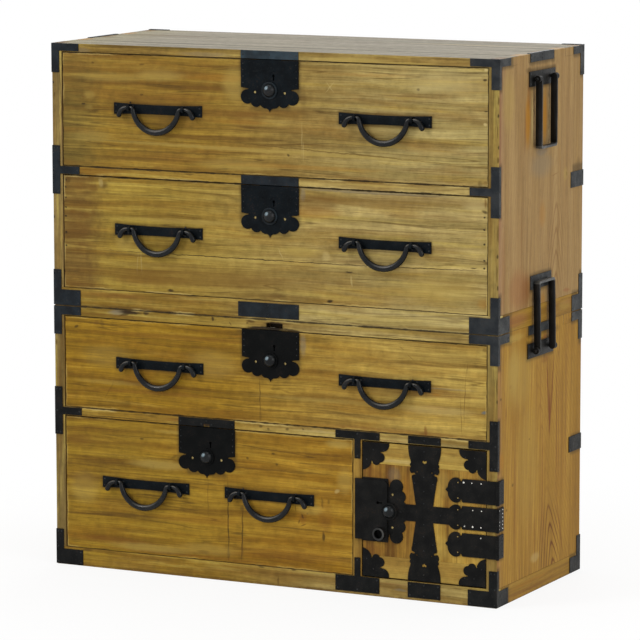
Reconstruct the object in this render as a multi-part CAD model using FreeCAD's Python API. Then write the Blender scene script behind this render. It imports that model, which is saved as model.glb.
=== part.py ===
import FreeCAD, Part
import math
import os

# Two-section Japanese clothing chest with iron fittings, in millimetres.
# X runs to the right, the front faces -Y and Z is up; the origin is the middle of the footprint.

Vector = FreeCAD.Vector

# Overall sizes
chest_width = 900.0
chest_depth = 380.0
lower_height = 490.0
upper_height = 487.0

# Boards of the two cases
side_thickness = 20.0
lower_top_thickness = 18.0
upper_top_thickness = 15.0
base_height = 34.0
base_rail_depth = 20.0
base_batten_width = 40.0
bottom_thickness = 9.0
rail_height = 16.0
rail_depth = 24.0
shelf_thickness = 8.0
back_thickness = 10.0
back_rabbet = 8.0
divider_thickness = 17.0
door_opening = 246.0
drawer_three_opening = 172.0
edge_round = 0.9
finger_count = 9
plank_joint_fingers = (2, 6)
back_board_count = 3
overrun = 4.0

# Drawers
front_thickness = 20.0
front_inset = 1.0
front_lap = 8.0
drawer_side_gap = 1.0
drawer_top_gap = 1.2
runner_gap = 0.3
drawer_board = 10.0
drawer_bottom = 7.0
drawer_bottom_lift = 3.0
drawer_side_drop = 2.0
drawer_back_drop = 10.0
drawer_back_gap = 8.0

# Small drawers behind the door
inner_front_gap = 12.0
inner_lining = 8.0
inner_front_thickness = 12.0
inner_board = 8.0
inner_bottom = 5.0
inner_back_gap = 43.0
inner_knob_radius = 7.0
inner_knob_neck = 4.0
inner_knob_length = 5.0
inner_knob_head = 4.0

# Iron plates on the cases
iron_thickness = 1.2
iron_margin = 1.0
corner_arm = 56.0
corner_leg_width = 15.0
corner_leg_top = 54.0
corner_leg_bottom = 67.0
corner_base_arm_height = 30.0
corner_side_arm = 48.0
corner_side_leg = 7.0
back_leg_width = 16.0
back_face_arm = 40.0
back_top_lip = 9.0
tee_reach = 37.0
tee_plate_length = 57.0
tee_plate_height = 29.0
tee_back_place = 244.0
wear_plate_length = 106.0
wear_top_lip = 6.0
rest_plate_length = 94.0
rest_plate_height = 25.0
rest_plate_thickness = 1.5
rest_plate_over = 10.0
seam_plate_left = 65.0
seam_plate_right = 58.0
seam_plate_height = 27.0
seam_plate_lift = 3.5
divider_tee_width = 88.0
divider_tee_stem = 12.0
divider_stem_share = 0.49
stile_tee_share = 0.68
stile_leg_share = 0.757
divider_base_tee_height = 29.0

# Drawer locks
lock_plate_width = 116.0
lock_plate_height = 94.0
lock_plate_thickness = 1.5
lock_plate_drop = 0.5
lock_overlay_thickness = 0.8
lock_overlay_height = 26.0
lock_case_width = 44.0
lock_case_height = 71.0
lock_case_depth = 12.0
button_drop = 55.0
button_radius = 12.0
button_bore_gap = 0.3
button_bore_depth = 10.0
button_travel = 4.0
button_end_gap = 0.3
button_stand = 3.5
button_dome = 8.5
collar_radius = 15.5
collar_height = 2.4
bolt_width = 10.0
bolt_thickness = 4.0
bolt_length = 38.0
bolt_gap = 0.2
bolt_head_gap = 0.2
mortise_width = 12.0
mortise_thickness = 7.0
mortise_depth = 8.0
keyhole_drop = 28.5
keyhole_shift = 8.0
keyhole_radius = 2.6
keyhole_slot_width = 2.4
keyhole_slot_length = 9.0
keyhole_depth = 3.0
sight_hole_radius = 2.6
sight_hole_shift = 30.0
sight_hole_drop = 59.0
strike_notch_width = 12.0
strike_notch_height = 5.0
open_slot_left = 8.0
open_slot_right = 25.0
open_slot_lift = 3.5
open_slot_height = 8.5
open_slot_depth = 14.0

# Half outline of a lock plate, as shares of its half width and of its height, from the top middle down
lock_outline_shares = (
    (1.000, 0.000),
    (1.000, -0.535),
    (0.730, -0.556),
    (0.770, -0.577),
    (1.005, -0.700, 0.655, -0.825),
    (0.490, -0.905, 0.325, -0.862),
    (0.220, -0.918, 0.120, -0.925),
    (0.045, -0.950, 0.000, -1.000),
)
overlay_outline_shares = (
    (1.000, 0.000),
    (1.000, -0.560),
    (0.640, -0.880, 0.200, -0.740),
    (0.090, -0.800, 0.000, -1.000),
)

# Drawer handles: a bail that swings in two eye posts on a waisted plate
pull_plate_length = 182.0
pull_plate_height = 21.0
pull_plate_waist = 16.5
pull_plate_thickness = 1.5
pull_spread = 229.0
short_pull_spread = 128.0
eye_drop_first = 96.25
eye_drop_second = 92.25
eye_drop_third = 77.75
eye_drop_fourth = 115.25
eye_rise = 3.0
eye_spread = 56.0
eye_width = 5.0
eye_ring_radius = 5.8
eye_gap = 0.3
eye_stand = 8.0
eye_stem_radius = 2.2
eye_stem_gap = 0.2
eye_tail_length = 11.0
eye_tail_thickness = 1.6
bail_drop = 44.0
bail_shoulder = 5.5
bail_straight = 3.5
bail_tip_bend = 16.0
bail_tip_turn = 65.0
bail_tip_straight = 5.0
bail_eye_radius = 3.0
bail_leg_radius = 4.4
bail_middle_radius = 5.8
bail_tip_radius = 4.8
bail_stations = 6
bail_bend_stations = 4

# Carrying handles on the two sides: a strap bent square, on pins in two eyes
carry_middle = -3.0
carry_plate_length = 116.0
carry_plate_height = 27.0
carry_plate_thickness = 2.0
carry_stand = 8.0
carry_spread = 34.0
carry_strap = 4.5
carry_strap_width = 12.0
carry_length = 125.0
carry_corner = 5.0
carry_inner_corner = 2.0
carry_pin_radius = 3.0
carry_pin_gap = 0.3
carry_pin_tip = 3.0
carry_eye_gap = 0.6
carry_eye_width = 6.0
carry_eye_radius = 6.2
carry_rest_gap = 0.3
upper_carry_drop = 45.0
lower_carry_drop = 46.0

# Door at the right of the lower case
door_side_gap = 1.8
door_level_gap = 2.5
door_thickness = 20.0
door_batten_height = 38.5
door_lip_length = 14.5
door_lip_gap = 0.3
door_lip_round = 3.0
door_case_rise = 4.2
door_case_length = 50.5
door_case_round = 8.0
door_case_margin = 3.0
door_keyhole_drop = 32.0
door_keyhole_shift = 14.0
tube_drop = 38.5
tube_shift = 41.0
tube_radius = 11.5
tube_bore = 8.2
tube_length = 12.0
band_thickness = 1.2
cross_band_height = 30.0
band_place = 122.2
band_edge_width = 64.0
heart_radius = 2.3
heart_drop = 28.0
heart_length = 4.4
corner_plate_gap = 13.5
corner_plate_width_share = 1.02
corner_pin_shares = ((0.695, -0.340), (0.345, -0.690))
pin_hole_radius = 1.3
band_pin_shares = (0.23, 0.435)
cross_band_start_share = 0.9

# Half outline of the upright band from its end on the door down to the cross band:
# shares of half its end width and of its length
band_outline_shares = (
    (1.000, 0.000),
    (0.970, -0.130, 0.860, -0.245),
    (0.830, -0.290),
    (0.890, -0.310, 0.840, -0.350),
    (0.900, -0.410, 0.800, -0.465),
    (0.620, -0.450),
    (0.560, -0.480),
    (0.760, -0.500),
    (0.780, -0.540, 0.750, -0.575),
    (0.530, -1.000),
)
# Outline of a corner plate from the corner of the door: shares of its width and height
corner_outline_shares = (
    (1.000, 0.000),
    (0.960, -0.200, 0.730, -0.310),
    (0.700, -0.360),
    (0.830, -0.520, 0.650, -0.700),
    (0.480, -0.800, 0.370, -0.690),
    (0.330, -0.710),
    (0.180, -0.930, 0.000, -1.000),
)

# Strap hinges: three straps on the door, knuckles outside the front corner of the case
strap_count = 3
strap_gap = 6.0
strap_corner_gap = 1.0
strap_tip_gap = 9.6
strap_thickness = 2.0
strap_over_gap = 0.3
strap_fold = 1.5
leaf_thickness = 1.5
leaf_length = 26.0
barrel_radius = 3.2
barrel_out_x = 2.6
barrel_out_y = 3.0
hinge_pin_radius = 1.6
hinge_pin_gap = 0.08
knuckle_gap = 0.3
knuckle_count = 5
knuckle_clear = 0.6

# Half outline of a strap from its tip to the right: shares of its length and of its half height
strap_edge_share = 0.980
strap_pin_shares = (0.245, 0.660)
strap_outline_shares = (
    (0.020, 0.110, 0.045, 0.230),
    (0.065, 0.640, 0.120, 0.940),
    (0.205, 1.040, 0.270, 0.930),
    (0.280, 0.760),
    (0.305, 0.760),
    (0.320, strap_edge_share),
    (1.000, strap_edge_share),
)

# Levels and places that follow from the sizes
half_width = chest_width / 2
front_face = -chest_depth / 2
back_face = chest_depth / 2
inner_half = half_width - side_thickness
back_inside = back_face - back_thickness
chest_height = lower_height + upper_height
lower_ceiling = lower_height - lower_top_thickness
lower_rail_top = lower_ceiling - drawer_three_opening
lower_rail_bottom = lower_rail_top - rail_height
upper_floor = lower_height + base_height
upper_ceiling = chest_height - upper_top_thickness
upper_opening = (upper_ceiling - upper_floor - rail_height) / 2
upper_rail_bottom = upper_floor + upper_opening
upper_rail_top = upper_rail_bottom + rail_height
divider_right = inner_half - door_opening
divider_left = divider_right - divider_thickness
divider_middle = (divider_left + divider_right) / 2
board_face = front_face + front_inset
finger_pitch = chest_depth / finger_count

# Door and hinge places
door_left = divider_right + door_side_gap
door_right = inner_half - door_side_gap
door_bottom = base_height + door_level_gap
door_top = lower_rail_bottom - door_level_gap
door_middle = (door_bottom + door_top) / 2
hinge_x = half_width + barrel_out_x
hinge_y = front_face - barrel_out_y
band_middle = door_left + band_place
corner_plate_height = (door_top - door_bottom - lock_plate_width) / 2 - corner_plate_gap
corner_plate_width = corner_plate_height * corner_plate_width_share
strap_start = band_middle + band_edge_width / 2 + strap_tip_gap
strap_length = hinge_x - strap_start
strap_span = door_top - door_bottom - 2 * (corner_plate_height + strap_corner_gap)
strap_pitch = (strap_span + strap_gap) / strap_count
strap_height = strap_pitch - strap_gap
strap_bottom = door_bottom + corner_plate_height + strap_corner_gap
strap_top = strap_bottom + strap_span

# Irons beside the door keep clear of its straps and of the lip of its lock
stile_tee_reach = (lower_rail_bottom - strap_top) * stile_tee_share
stile_leg_top = strap_bottom * stile_leg_share
lock_lip_half = lock_plate_width / 2 - door_case_margin
divider_stem = (door_middle - lock_lip_half - base_height) * divider_stem_share

# Carrying handle places
carry_axis = half_width + carry_plate_thickness + carry_stand
upper_carry_level = chest_height - upper_carry_drop
lower_carry_level = lower_height - lower_carry_drop
carry_inner_gap = carry_plate_thickness + carry_stand - carry_strap_width / 2
carry_lean_run = carry_inner_gap - rest_plate_thickness - carry_rest_gap
carry_lean = math.degrees(math.asin(carry_lean_run / carry_length))

nodes = {}


# Shapes used everywhere
def block(x_range, y_range, z_range):
    x_low, x_high = sorted(x_range)
    y_low, y_high = sorted(y_range)
    z_low, z_high = sorted(z_range)
    corner = Vector(x_low, y_low, z_low)
    return Part.makeBox(x_high - x_low, y_high - y_low, z_high - z_low, corner)


def mirrored(shape):
    return shape.mirror(Vector(0, 0, 0), Vector(1, 0, 0))


def moved(shape, x, y, z):
    copy = shape.copy()
    copy.translate(Vector(x, y, z))
    return copy


def joined(first, *others):
    return first.fuse(list(others)).removeSplitter()


def rod_x(radius, x_range, y, z):
    x_low, x_high = sorted(x_range)
    return Part.makeCylinder(radius, x_high - x_low, Vector(x_low, y, z), Vector(1, 0, 0))


def rod_y(radius, x, y_range, z):
    y_low, y_high = sorted(y_range)
    return Part.makeCylinder(radius, y_high - y_low, Vector(x, y_low, z), Vector(0, 1, 0))


def rod_z(radius, x, y, z_range):
    z_low, z_high = sorted(z_range)
    return Part.makeCylinder(radius, z_high - z_low, Vector(x, y, z_low), Vector(0, 0, 1))


# Rounds the edges of a board that lie on the given y and are longer than the given length
def eased(board, y, longer_than):
    edges = []
    for edge in board.Edges:
        box = edge.BoundBox
        on_face = abs(box.YMin - y) < edge_round / 2 and abs(box.YMax - y) < edge_round / 2
        if on_face and edge.Length > longer_than + edge_round:
            edges.append(edge)
    return board.makeFillet(edge_round, edges)


# Edges through a table of shares; a row of two is a line, a row of four an arc through its first point
def share_edges(start, rows, wide, high):
    edges = []
    here = Vector(start[0] * wide, 0, start[1] * high)
    for row in rows:
        there = Vector(row[-2] * wide, 0, row[-1] * high)
        if len(row) == 4:
            middle = Vector(row[0] * wide, 0, row[1] * high)
            edges.append(Part.Arc(here, middle, there).toShape())
        else:
            edges.append(Part.makeLine(here, there))
        here = there
    return edges, here


def plate_from(edges, thickness):
    face = Part.Face(Part.Wire(edges))
    return face.extrude(Vector(0, -thickness, 0))


# A plate that is alike left and right of x = 0, hanging down from z = 0
def hanging_plate(rows, width, height, thickness):
    edges, last = share_edges((0, 0), rows, width / 2, height)
    if last.x > 0:
        foot = Vector(0, 0, last.z)
        edges.append(Part.makeLine(last, foot))
        last = foot
    edges.append(Part.makeLine(last, Vector(0, 0, 0)))
    half = plate_from(edges, thickness)
    return joined(half, mirrored(half))


def add(name, *solids):
    nodes[name] = solids


# The two cases
def finger_block(side, index, z_range):
    y_low = front_face + index * finger_pitch
    return block((side * inner_half, side * half_width), (y_low, y_low + finger_pitch), z_range)


def top_planks(z_low, z_high):
    board = block((-half_width, half_width), (front_face, back_face), (z_low, z_high))
    tongues = []
    for index in range(0, finger_count, 2):
        tongues.append(finger_block(-1, index, (z_low, z_high)))
        tongues.append(finger_block(1, index, (z_low, z_high)))
    board = board.cut(tongues)
    planks = []
    starts = (0,) + plank_joint_fingers
    ends = plank_joint_fingers + (finger_count,)
    for start, end in zip(starts, ends):
        y_range = (front_face + start * finger_pitch, front_face + end * finger_pitch)
        piece = board.common(block((-half_width, half_width), y_range, (z_low, z_high)))
        planks.append(piece.Solids[0])
    return planks


def side_board(side, z_low, ceiling, z_high):
    board = block((side * inner_half, side * half_width), (front_face, back_face), (z_low, z_high))
    holes = []
    for index in range(1, finger_count, 2):
        holes.append(finger_block(side, index, (ceiling, z_high)))
    rabbet_x = (side * inner_half, side * (inner_half + back_rabbet))
    holes.append(block(rabbet_x, (back_inside, back_face), (z_low, ceiling)))
    return board.cut(holes)


def back_boards(z_low, z_high):
    reach = inner_half + back_rabbet
    pitch = (z_high - z_low) / back_board_count
    boards = []
    for index in range(back_board_count):
        z_range = (z_low + index * pitch, z_low + (index + 1) * pitch)
        boards.append(block((-reach, reach), (back_inside, back_face), z_range))
    return boards


def base_frame(floor):
    z_range = (floor, floor + base_height)
    front_inside = front_face + base_rail_depth
    back_inner = back_face - base_rail_depth
    board_low = floor + base_height - bottom_thickness
    front_rail = block((-half_width, half_width), (front_face, front_inside), z_range)
    back_rail = block((-half_width, half_width), (back_inner, back_face), z_range)
    right_rail = block((inner_half, half_width), (front_inside, back_inner), z_range)
    batten_x = (-base_batten_width / 2, base_batten_width / 2)
    batten = block(batten_x, (front_inside, back_inner), (floor, board_low))
    board_y = (front_inside, back_inner)
    board = block((-inner_half, inner_half), board_y, (board_low, floor + base_height))
    return [front_rail, back_rail, right_rail, mirrored(right_rail), batten, board]


# The hole above a lock that takes the raised bolt
def bolt_mortise(x, ceiling):
    x_range = (x - mortise_width / 2, x + mortise_width / 2)
    bolt_y = board_face + lock_case_depth / 2
    y_range = (bolt_y - mortise_thickness / 2, bolt_y + mortise_thickness / 2)
    return block(x_range, y_range, (ceiling - overrun, ceiling + mortise_depth))


def rail_and_shelf(z_low, lock_x):
    z_high = z_low + rail_height
    inside = front_face + rail_depth
    rail = block((-inner_half, inner_half), (front_face, inside), (z_low, z_high))
    rail = eased(rail, front_face, rail_height).cut(bolt_mortise(lock_x, z_low))
    shelf_y = (inside, back_inside)
    shelf = block((-inner_half, inner_half), shelf_y, (z_high - shelf_thickness, z_high))
    return [rail, shelf]


def make_case(name, floor, ceiling, roof):
    add(name + "_sides", *[side_board(side, floor + base_height, ceiling, roof) for side in (-1, 1)])
    add(name + "_back_boards", *back_boards(floor + base_height, ceiling))
    add(name + "_base_frame", *base_frame(floor))


def make_upper_case():
    make_case("upper", lower_height, upper_ceiling, chest_height)
    planks = top_planks(upper_ceiling, chest_height)
    planks[0] = planks[0].cut(bolt_mortise(0, upper_ceiling))
    add("upper_top_board", *planks)
    add("upper_rail_shelf", *rail_and_shelf(upper_rail_bottom, 0))


def make_lower_case():
    make_case("lower", 0, lower_ceiling, lower_height)
    planks = top_planks(lower_ceiling, lower_height)
    slot_z = lower_ceiling + open_slot_lift
    slot_y = (front_face - overrun, front_face + open_slot_depth)
    slot = block((-open_slot_left, open_slot_right), slot_y, (slot_z, slot_z + open_slot_height))
    planks[0] = planks[0].cut([slot, bolt_mortise(0, lower_ceiling)])
    add("lower_top_board", *planks)
    add("lower_rail_shelf", *rail_and_shelf(lower_rail_bottom, drawer_places[4]["lock_x"]))


# The divider beside the door, the small shelf behind the door and the lining that clears the open door
def make_partitions():
    divider_y = (front_face, back_inside)
    divider = block((divider_left, divider_right), divider_y, (base_height, lower_rail_bottom))
    bolt_y = board_face + lock_case_depth / 2
    mortise_y = (bolt_y - mortise_thickness / 2, bolt_y + mortise_thickness / 2)
    mortise_z = (door_middle - mortise_width / 2, door_middle + mortise_width / 2)
    mortise = block((divider_right - mortise_depth, divider_right + overrun), mortise_y, mortise_z)
    shelf_low = (base_height + lower_rail_bottom - shelf_thickness) / 2
    inside_y = (front_face + front_inset + door_thickness + inner_front_gap, back_inside)
    # The shelf behind the rail is thinner than the rail, so these boards run up to its underside
    rail_inside = front_face + rail_depth
    shelf_under = lower_rail_top - shelf_thickness
    riser_y = (rail_inside, back_inside)
    riser = block((divider_left, divider_right), riser_y, (lower_rail_bottom, shelf_under))
    divider = joined(divider, riser).cut(mortise)
    lining = block((inner_half - inner_lining, inner_half), inside_y, (base_height, shelf_under))
    shelf_x = (divider_right, inner_half - inner_lining)
    shelf = block(shelf_x, inside_y, (shelf_low, shelf_low + shelf_thickness))
    add("lower_partitions", divider, shelf, lining)


# Iron plates on the cases
def front_iron(x_range, z_range):
    return block(x_range, (front_face - iron_thickness, front_face), z_range)


def side_iron(y_range, z_range):
    return block((half_width, half_width + iron_thickness), y_range, z_range)


def back_iron(x_range, z_range):
    return block(x_range, (back_face, back_face + iron_thickness), z_range)


# An angle that wraps a front corner; the arm lies along the edge and the leg runs from it, both to z
def front_corner_iron(edge, arm_end, leg_end):
    outer = half_width + iron_thickness
    arm = front_iron((half_width - corner_arm, outer), (edge, arm_end))
    leg = front_iron((half_width - corner_leg_width, outer), (edge, leg_end))
    side_y = (front_face - iron_thickness, front_face + corner_side_arm)
    side_arm = side_iron(side_y, (edge, arm_end))
    side_leg = side_iron((front_face - iron_thickness, front_face + corner_side_leg), (edge, leg_end))
    return joined(arm, leg, side_arm, side_leg)


def back_corner_iron(edge, arm_end, leg_end):
    outer = half_width + iron_thickness
    side_arm = side_iron((back_face - corner_side_arm, back_face + iron_thickness), (edge, arm_end))
    side_leg = side_iron((back_face - back_leg_width, back_face + iron_thickness), (edge, leg_end))
    back_arm = back_iron((half_width - back_face_arm, outer), (edge, arm_end))
    back_leg = back_iron((half_width - back_leg_width, outer), (edge, leg_end))
    return joined(side_arm, side_leg, back_arm, back_leg)


# A tee over the end of a rail; its upright lies on the case side's front edge and wraps the corner
def rail_tee(z_low, reach_down):
    z_range = (z_low - reach_down, z_low + rail_height + tee_reach)
    outer = half_width + iron_thickness
    arm_z = (z_low + iron_margin, z_low + rail_height - iron_margin)
    arm = front_iron((half_width - corner_arm, half_width), arm_z)
    upright = front_iron((half_width - corner_leg_width, outer), z_range)
    wrap = side_iron((front_face - iron_thickness, front_face + corner_side_leg), z_range)
    return joined(arm, upright, wrap)


def back_plate(middle):
    z_range = (middle - tee_plate_height / 2, middle + tee_plate_height / 2)
    side = side_iron((back_face - tee_plate_length, back_face + iron_thickness), z_range)
    back = back_iron((half_width - back_face_arm, half_width + iron_thickness), z_range)
    return joined(side, back)


# The plates above and below a carrying handle share its middle
def around_handle(length):
    return carry_middle - length / 2, carry_middle + length / 2


def wear_plate(z_low, z_high):
    return side_iron(around_handle(wear_plate_length), (z_low, z_high))


# A strike plate over a lock, on the front edge of the board or rail above it
def strike_plate(x, z_low, z_high):
    return front_iron((x - lock_plate_width / 2, x + lock_plate_width / 2), (z_low, z_high))


# A strike plate with a notch that shows the raised bolt
def notched_strike(x, z_low, z_high):
    notch_x = (x - strike_notch_width / 2, x + strike_notch_width / 2)
    notch_y = (front_face - iron_thickness - overrun, front_face + overrun)
    notch = block(notch_x, notch_y, (z_low - overrun, z_low + strike_notch_height))
    return strike_plate(x, z_low, z_high).cut(notch)


def both_sides(plates):
    return plates + [mirrored(plate) for plate in plates]


def make_upper_irons():
    seam = lower_height + iron_margin
    roof = chest_height
    arm_top = upper_ceiling + iron_margin
    arm_base = lower_height + corner_base_arm_height
    top_back = back_corner_iron(roof, arm_top, roof - corner_leg_top)
    lip_y = (back_face - back_top_lip, back_face + iron_thickness)
    lip_x = (half_width - back_face_arm, half_width + iron_thickness)
    top_back = joined(top_back, block(lip_x, lip_y, (roof, roof + iron_thickness)))
    wear_lip_x = (half_width - wear_top_lip, half_width + iron_thickness)
    wear_lip = block(wear_lip_x, around_handle(wear_plate_length), (roof, roof + iron_thickness))
    rest_x = (half_width, half_width + rest_plate_thickness)
    rest_top = lower_carry_level + carry_length + rest_plate_over
    rest = block(rest_x, around_handle(rest_plate_length), (rest_top - rest_plate_height, rest_top))
    plates = [
        front_corner_iron(roof, arm_top, roof - corner_leg_top),
        front_corner_iron(seam, arm_base, lower_height + corner_leg_bottom),
        top_back,
        back_corner_iron(seam, arm_base, lower_height + corner_leg_bottom),
        rail_tee(upper_rail_bottom, tee_reach),
        back_plate(upper_rail_bottom - iron_margin),
        joined(wear_plate(upper_ceiling, roof), wear_lip),
        rest,
    ]
    seam_z = lower_height + seam_plate_lift
    seam_plate = front_iron((-seam_plate_left, seam_plate_right), (seam_z, seam_z + seam_plate_height))
    strikes = [strike_plate(0, upper_ceiling, roof), strike_plate(0, upper_rail_bottom, upper_rail_top)]
    add("upper_irons", *both_sides(plates), seam_plate, *strikes)


def divider_tees():
    stem_x = (divider_middle - divider_tee_stem / 2, divider_middle + divider_tee_stem / 2)
    bar_x = (divider_middle - divider_tee_width / 2, divider_middle + divider_tee_width / 2)
    top_bar = front_iron(bar_x, (lower_rail_bottom + iron_margin, lower_rail_top - iron_margin))
    top_stem_z = (lower_rail_bottom - divider_stem, lower_rail_bottom + iron_margin)
    top_stem = front_iron(stem_x, top_stem_z)
    base_bar = front_iron(bar_x, (base_height - divider_base_tee_height, base_height))
    base_stem = front_iron(stem_x, (base_height, base_height + divider_stem))
    return [joined(top_bar, top_stem), joined(base_bar, base_stem)]


# The upright band of the door runs on over the rail above it and the base rail below it
def band_ends():
    band_x = (band_middle - band_edge_width / 2, band_middle + band_edge_width / 2)
    rail_piece = front_iron(band_x, (lower_rail_bottom + iron_margin, lower_rail_top - iron_margin))
    base_piece = front_iron(band_x, (base_height - divider_base_tee_height, base_height - iron_margin))
    return [rail_piece, base_piece]


def make_lower_irons():
    roof = lower_height - iron_margin
    floor = iron_margin
    arm_top = lower_ceiling + iron_margin
    arm_base = corner_base_arm_height
    plates = [
        front_corner_iron(roof, arm_top, lower_height - corner_leg_top),
        front_corner_iron(floor, arm_base, stile_leg_top),
        back_corner_iron(roof, arm_top, lower_height - corner_leg_top),
        back_corner_iron(floor, arm_base, corner_leg_bottom),
        rail_tee(lower_rail_bottom, stile_tee_reach),
        back_plate(tee_back_place),
        wear_plate(arm_top, roof),
    ]
    place = drawer_places[4]
    strike = notched_strike(place["lock_x"], lower_rail_bottom, lower_rail_top - iron_margin)
    add("lower_irons", *both_sides(plates), *divider_tees(), *band_ends(), strike)


# Locks, drawn around the top middle of the lock plate: z = 0 is the board's edge, y = 0 its face
def keyhole(drop, shift, y_low, y_high):
    ring = rod_y(keyhole_radius, shift, (y_low, y_high), -drop)
    slot_x = (shift - keyhole_slot_width / 2, shift + keyhole_slot_width / 2)
    slot = block(slot_x, (y_low, y_high), (-drop - keyhole_slot_length, -drop))
    return ring.fuse(slot)


def lock_plate(with_overlay):
    plate = hanging_plate(lock_outline_shares, lock_plate_width, lock_plate_height, lock_plate_thickness)
    if with_overlay:
        over = lock_plate_thickness + lock_overlay_thickness
        overlay = hanging_plate(overlay_outline_shares, lock_plate_width, lock_overlay_height, over)
        plate = joined(plate, overlay)
    plate = moved(plate, 0, 0, -lock_plate_drop)
    collar = rod_y(collar_radius, 0, (-lock_plate_thickness - collar_height, 0), -button_drop)
    holes = plate_holes(keyhole_drop, keyhole_shift, -lock_plate_thickness - overrun)
    return joined(plate, collar).cut(holes)


def plate_holes(key_drop, key_shift, y_low):
    holes = [rod_y(button_radius + button_bore_gap, 0, (y_low, overrun), -button_drop)]
    for side in (-1, 1):
        holes.append(rod_y(sight_hole_radius, side * sight_hole_shift, (y_low, overrun), -sight_hole_drop))
    holes.append(keyhole(key_drop, key_shift, y_low, overrun))
    return holes


def lock_pocket():
    half = lock_case_width / 2
    return block((-half, half), (0, lock_case_depth), (-lock_case_height, 0))


def lock_case(key_drop, key_shift):
    middle = lock_case_depth / 2
    half_x = bolt_width / 2 + bolt_gap
    half_y = bolt_thickness / 2 + bolt_gap
    channel_z = (-bolt_length - bolt_head_gap - bolt_gap, overrun)
    channel = block((-half_x, half_x), (middle - half_y, middle + half_y), channel_z)
    bore = rod_y(button_radius + button_bore_gap, 0, (-overrun, button_bore_depth), -button_drop)
    return lock_pocket().cut([channel, bore, keyhole(key_drop, key_shift, -overrun, keyhole_depth)])


def lock_bolt():
    half_x = bolt_width / 2
    middle = lock_case_depth / 2
    y_range = (middle - bolt_thickness / 2, middle + bolt_thickness / 2)
    return block((-half_x, half_x), y_range, (-bolt_length - bolt_head_gap, -bolt_head_gap))


# A round button with a domed head; the dome is cut from the ball that passes through its rim
def lock_button(face_rise):
    back = button_bore_depth - button_travel - button_end_gap
    rim = -face_rise - button_stand
    ball_radius = (button_radius ** 2 + button_dome ** 2) / (2 * button_dome)
    ball_middle = rim + ball_radius - button_dome
    ball = Part.makeSphere(ball_radius, Vector(0, ball_middle, -button_drop))
    keep = rod_y(button_radius, 0, (rim - button_dome - overrun, rim), -button_drop)
    dome = ball.common(keep)
    stem = rod_y(button_radius, 0, (rim, back), -button_drop)
    return joined(stem, dome)


# Drawers
def drawer_front(place):
    x_range = (place["x_low"], place["x_high"])
    y_range = (board_face, board_face + front_thickness)
    board = block(x_range, y_range, (place["z_low"], place["z_high"]))
    board = eased(board, board_face, 0)
    lap_y = (board_face + front_lap, board_face + front_thickness)
    cuts = []
    for edge, inward in ((place["x_low"], 1), (place["x_high"], -1)):
        lap_x = (edge - inward * overrun, edge + inward * drawer_board)
        lap_z = (place["z_low"] - overrun, place["z_high"] + overrun)
        cuts.append(block(lap_x, lap_y, lap_z))
    cuts.append(moved(lock_pocket(), place["lock_x"], board_face, place["z_high"]))
    for x in eye_places(place):
        cuts.append(rod_y(eye_stem_radius + eye_stem_gap, x, y_range, place["eye_z"]))
    return board.cut(cuts)


def drawer_box(place):
    z_low = place["z_low"]
    z_high = place["z_high"] - drawer_side_drop
    back = back_inside - drawer_back_gap
    inner_front = board_face + front_thickness
    bottom_low = z_low + drawer_bottom_lift
    bottom_high = bottom_low + drawer_bottom
    left_x = (place["x_low"], place["x_low"] + drawer_board)
    right_x = (place["x_high"] - drawer_board, place["x_high"])
    side_y = (board_face + front_lap, back)
    across = (left_x[1], right_x[0])
    left = block(left_x, side_y, (z_low, z_high))
    right = block(right_x, side_y, (z_low, z_high))
    floor = block(across, (inner_front, back), (bottom_low, bottom_high))
    rear = block(across, (back - drawer_board, back), (bottom_high, z_high - drawer_back_drop))
    return [left, right, floor, rear]


def eye_places(place):
    return [pull + side * eye_spread for pull in place["pulls"] for side in (-1, 1)]


def waisted_plate():
    half_length = pull_plate_length / 2
    half_height = pull_plate_height / 2
    dip = (pull_plate_height - pull_plate_waist) / 2
    corners = [
        Vector(-half_length, 0, -half_height),
        Vector(-half_length, 0, half_height),
        Vector(half_length, 0, half_height),
        Vector(half_length, 0, -half_height),
    ]
    top = Part.Arc(corners[1], Vector(0, 0, half_height - dip), corners[2]).toShape()
    bottom = Part.Arc(corners[3], Vector(0, 0, -half_height + dip), corners[0]).toShape()
    left = Part.makeLine(corners[0], corners[1])
    right = Part.makeLine(corners[2], corners[3])
    return plate_from([left, top, right, bottom], pull_plate_thickness)


# One eye post: a ring for the bail, a stem through the drawer front and two bent tails inside
def eye_post():
    axis = -pull_plate_thickness - eye_stand
    half = eye_width / 2
    inside = front_thickness + eye_tail_thickness
    ring = rod_x(eye_ring_radius, (-half, half), axis, 0)
    stem = rod_y(eye_stem_radius, 0, (axis, inside), 0)
    tail_y = (front_thickness, inside)
    tail = block((-eye_tail_length, eye_tail_length), tail_y, (-eye_stem_radius, eye_stem_radius))
    hole = rod_x(bail_eye_radius + eye_gap, (-half - overrun, half + overrun), axis, 0)
    return joined(ring, stem, tail).cut(hole)


def pull_plates(place):
    solids = []
    hole_y = (-pull_plate_thickness - overrun, overrun)
    for pull in place["pulls"]:
        plate = moved(waisted_plate(), pull, 0, place["eye_z"] - eye_rise)
        for side in (-1, 1):
            stem_hole = rod_y(eye_stem_radius, pull + side * eye_spread, hole_y, place["eye_z"])
            plate = plate.cut(stem_hole)
            solids.append(moved(eye_post(), pull + side * eye_spread, board_face, place["eye_z"]))
        solids.append(moved(plate, 0, board_face, 0))
    return solids


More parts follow.
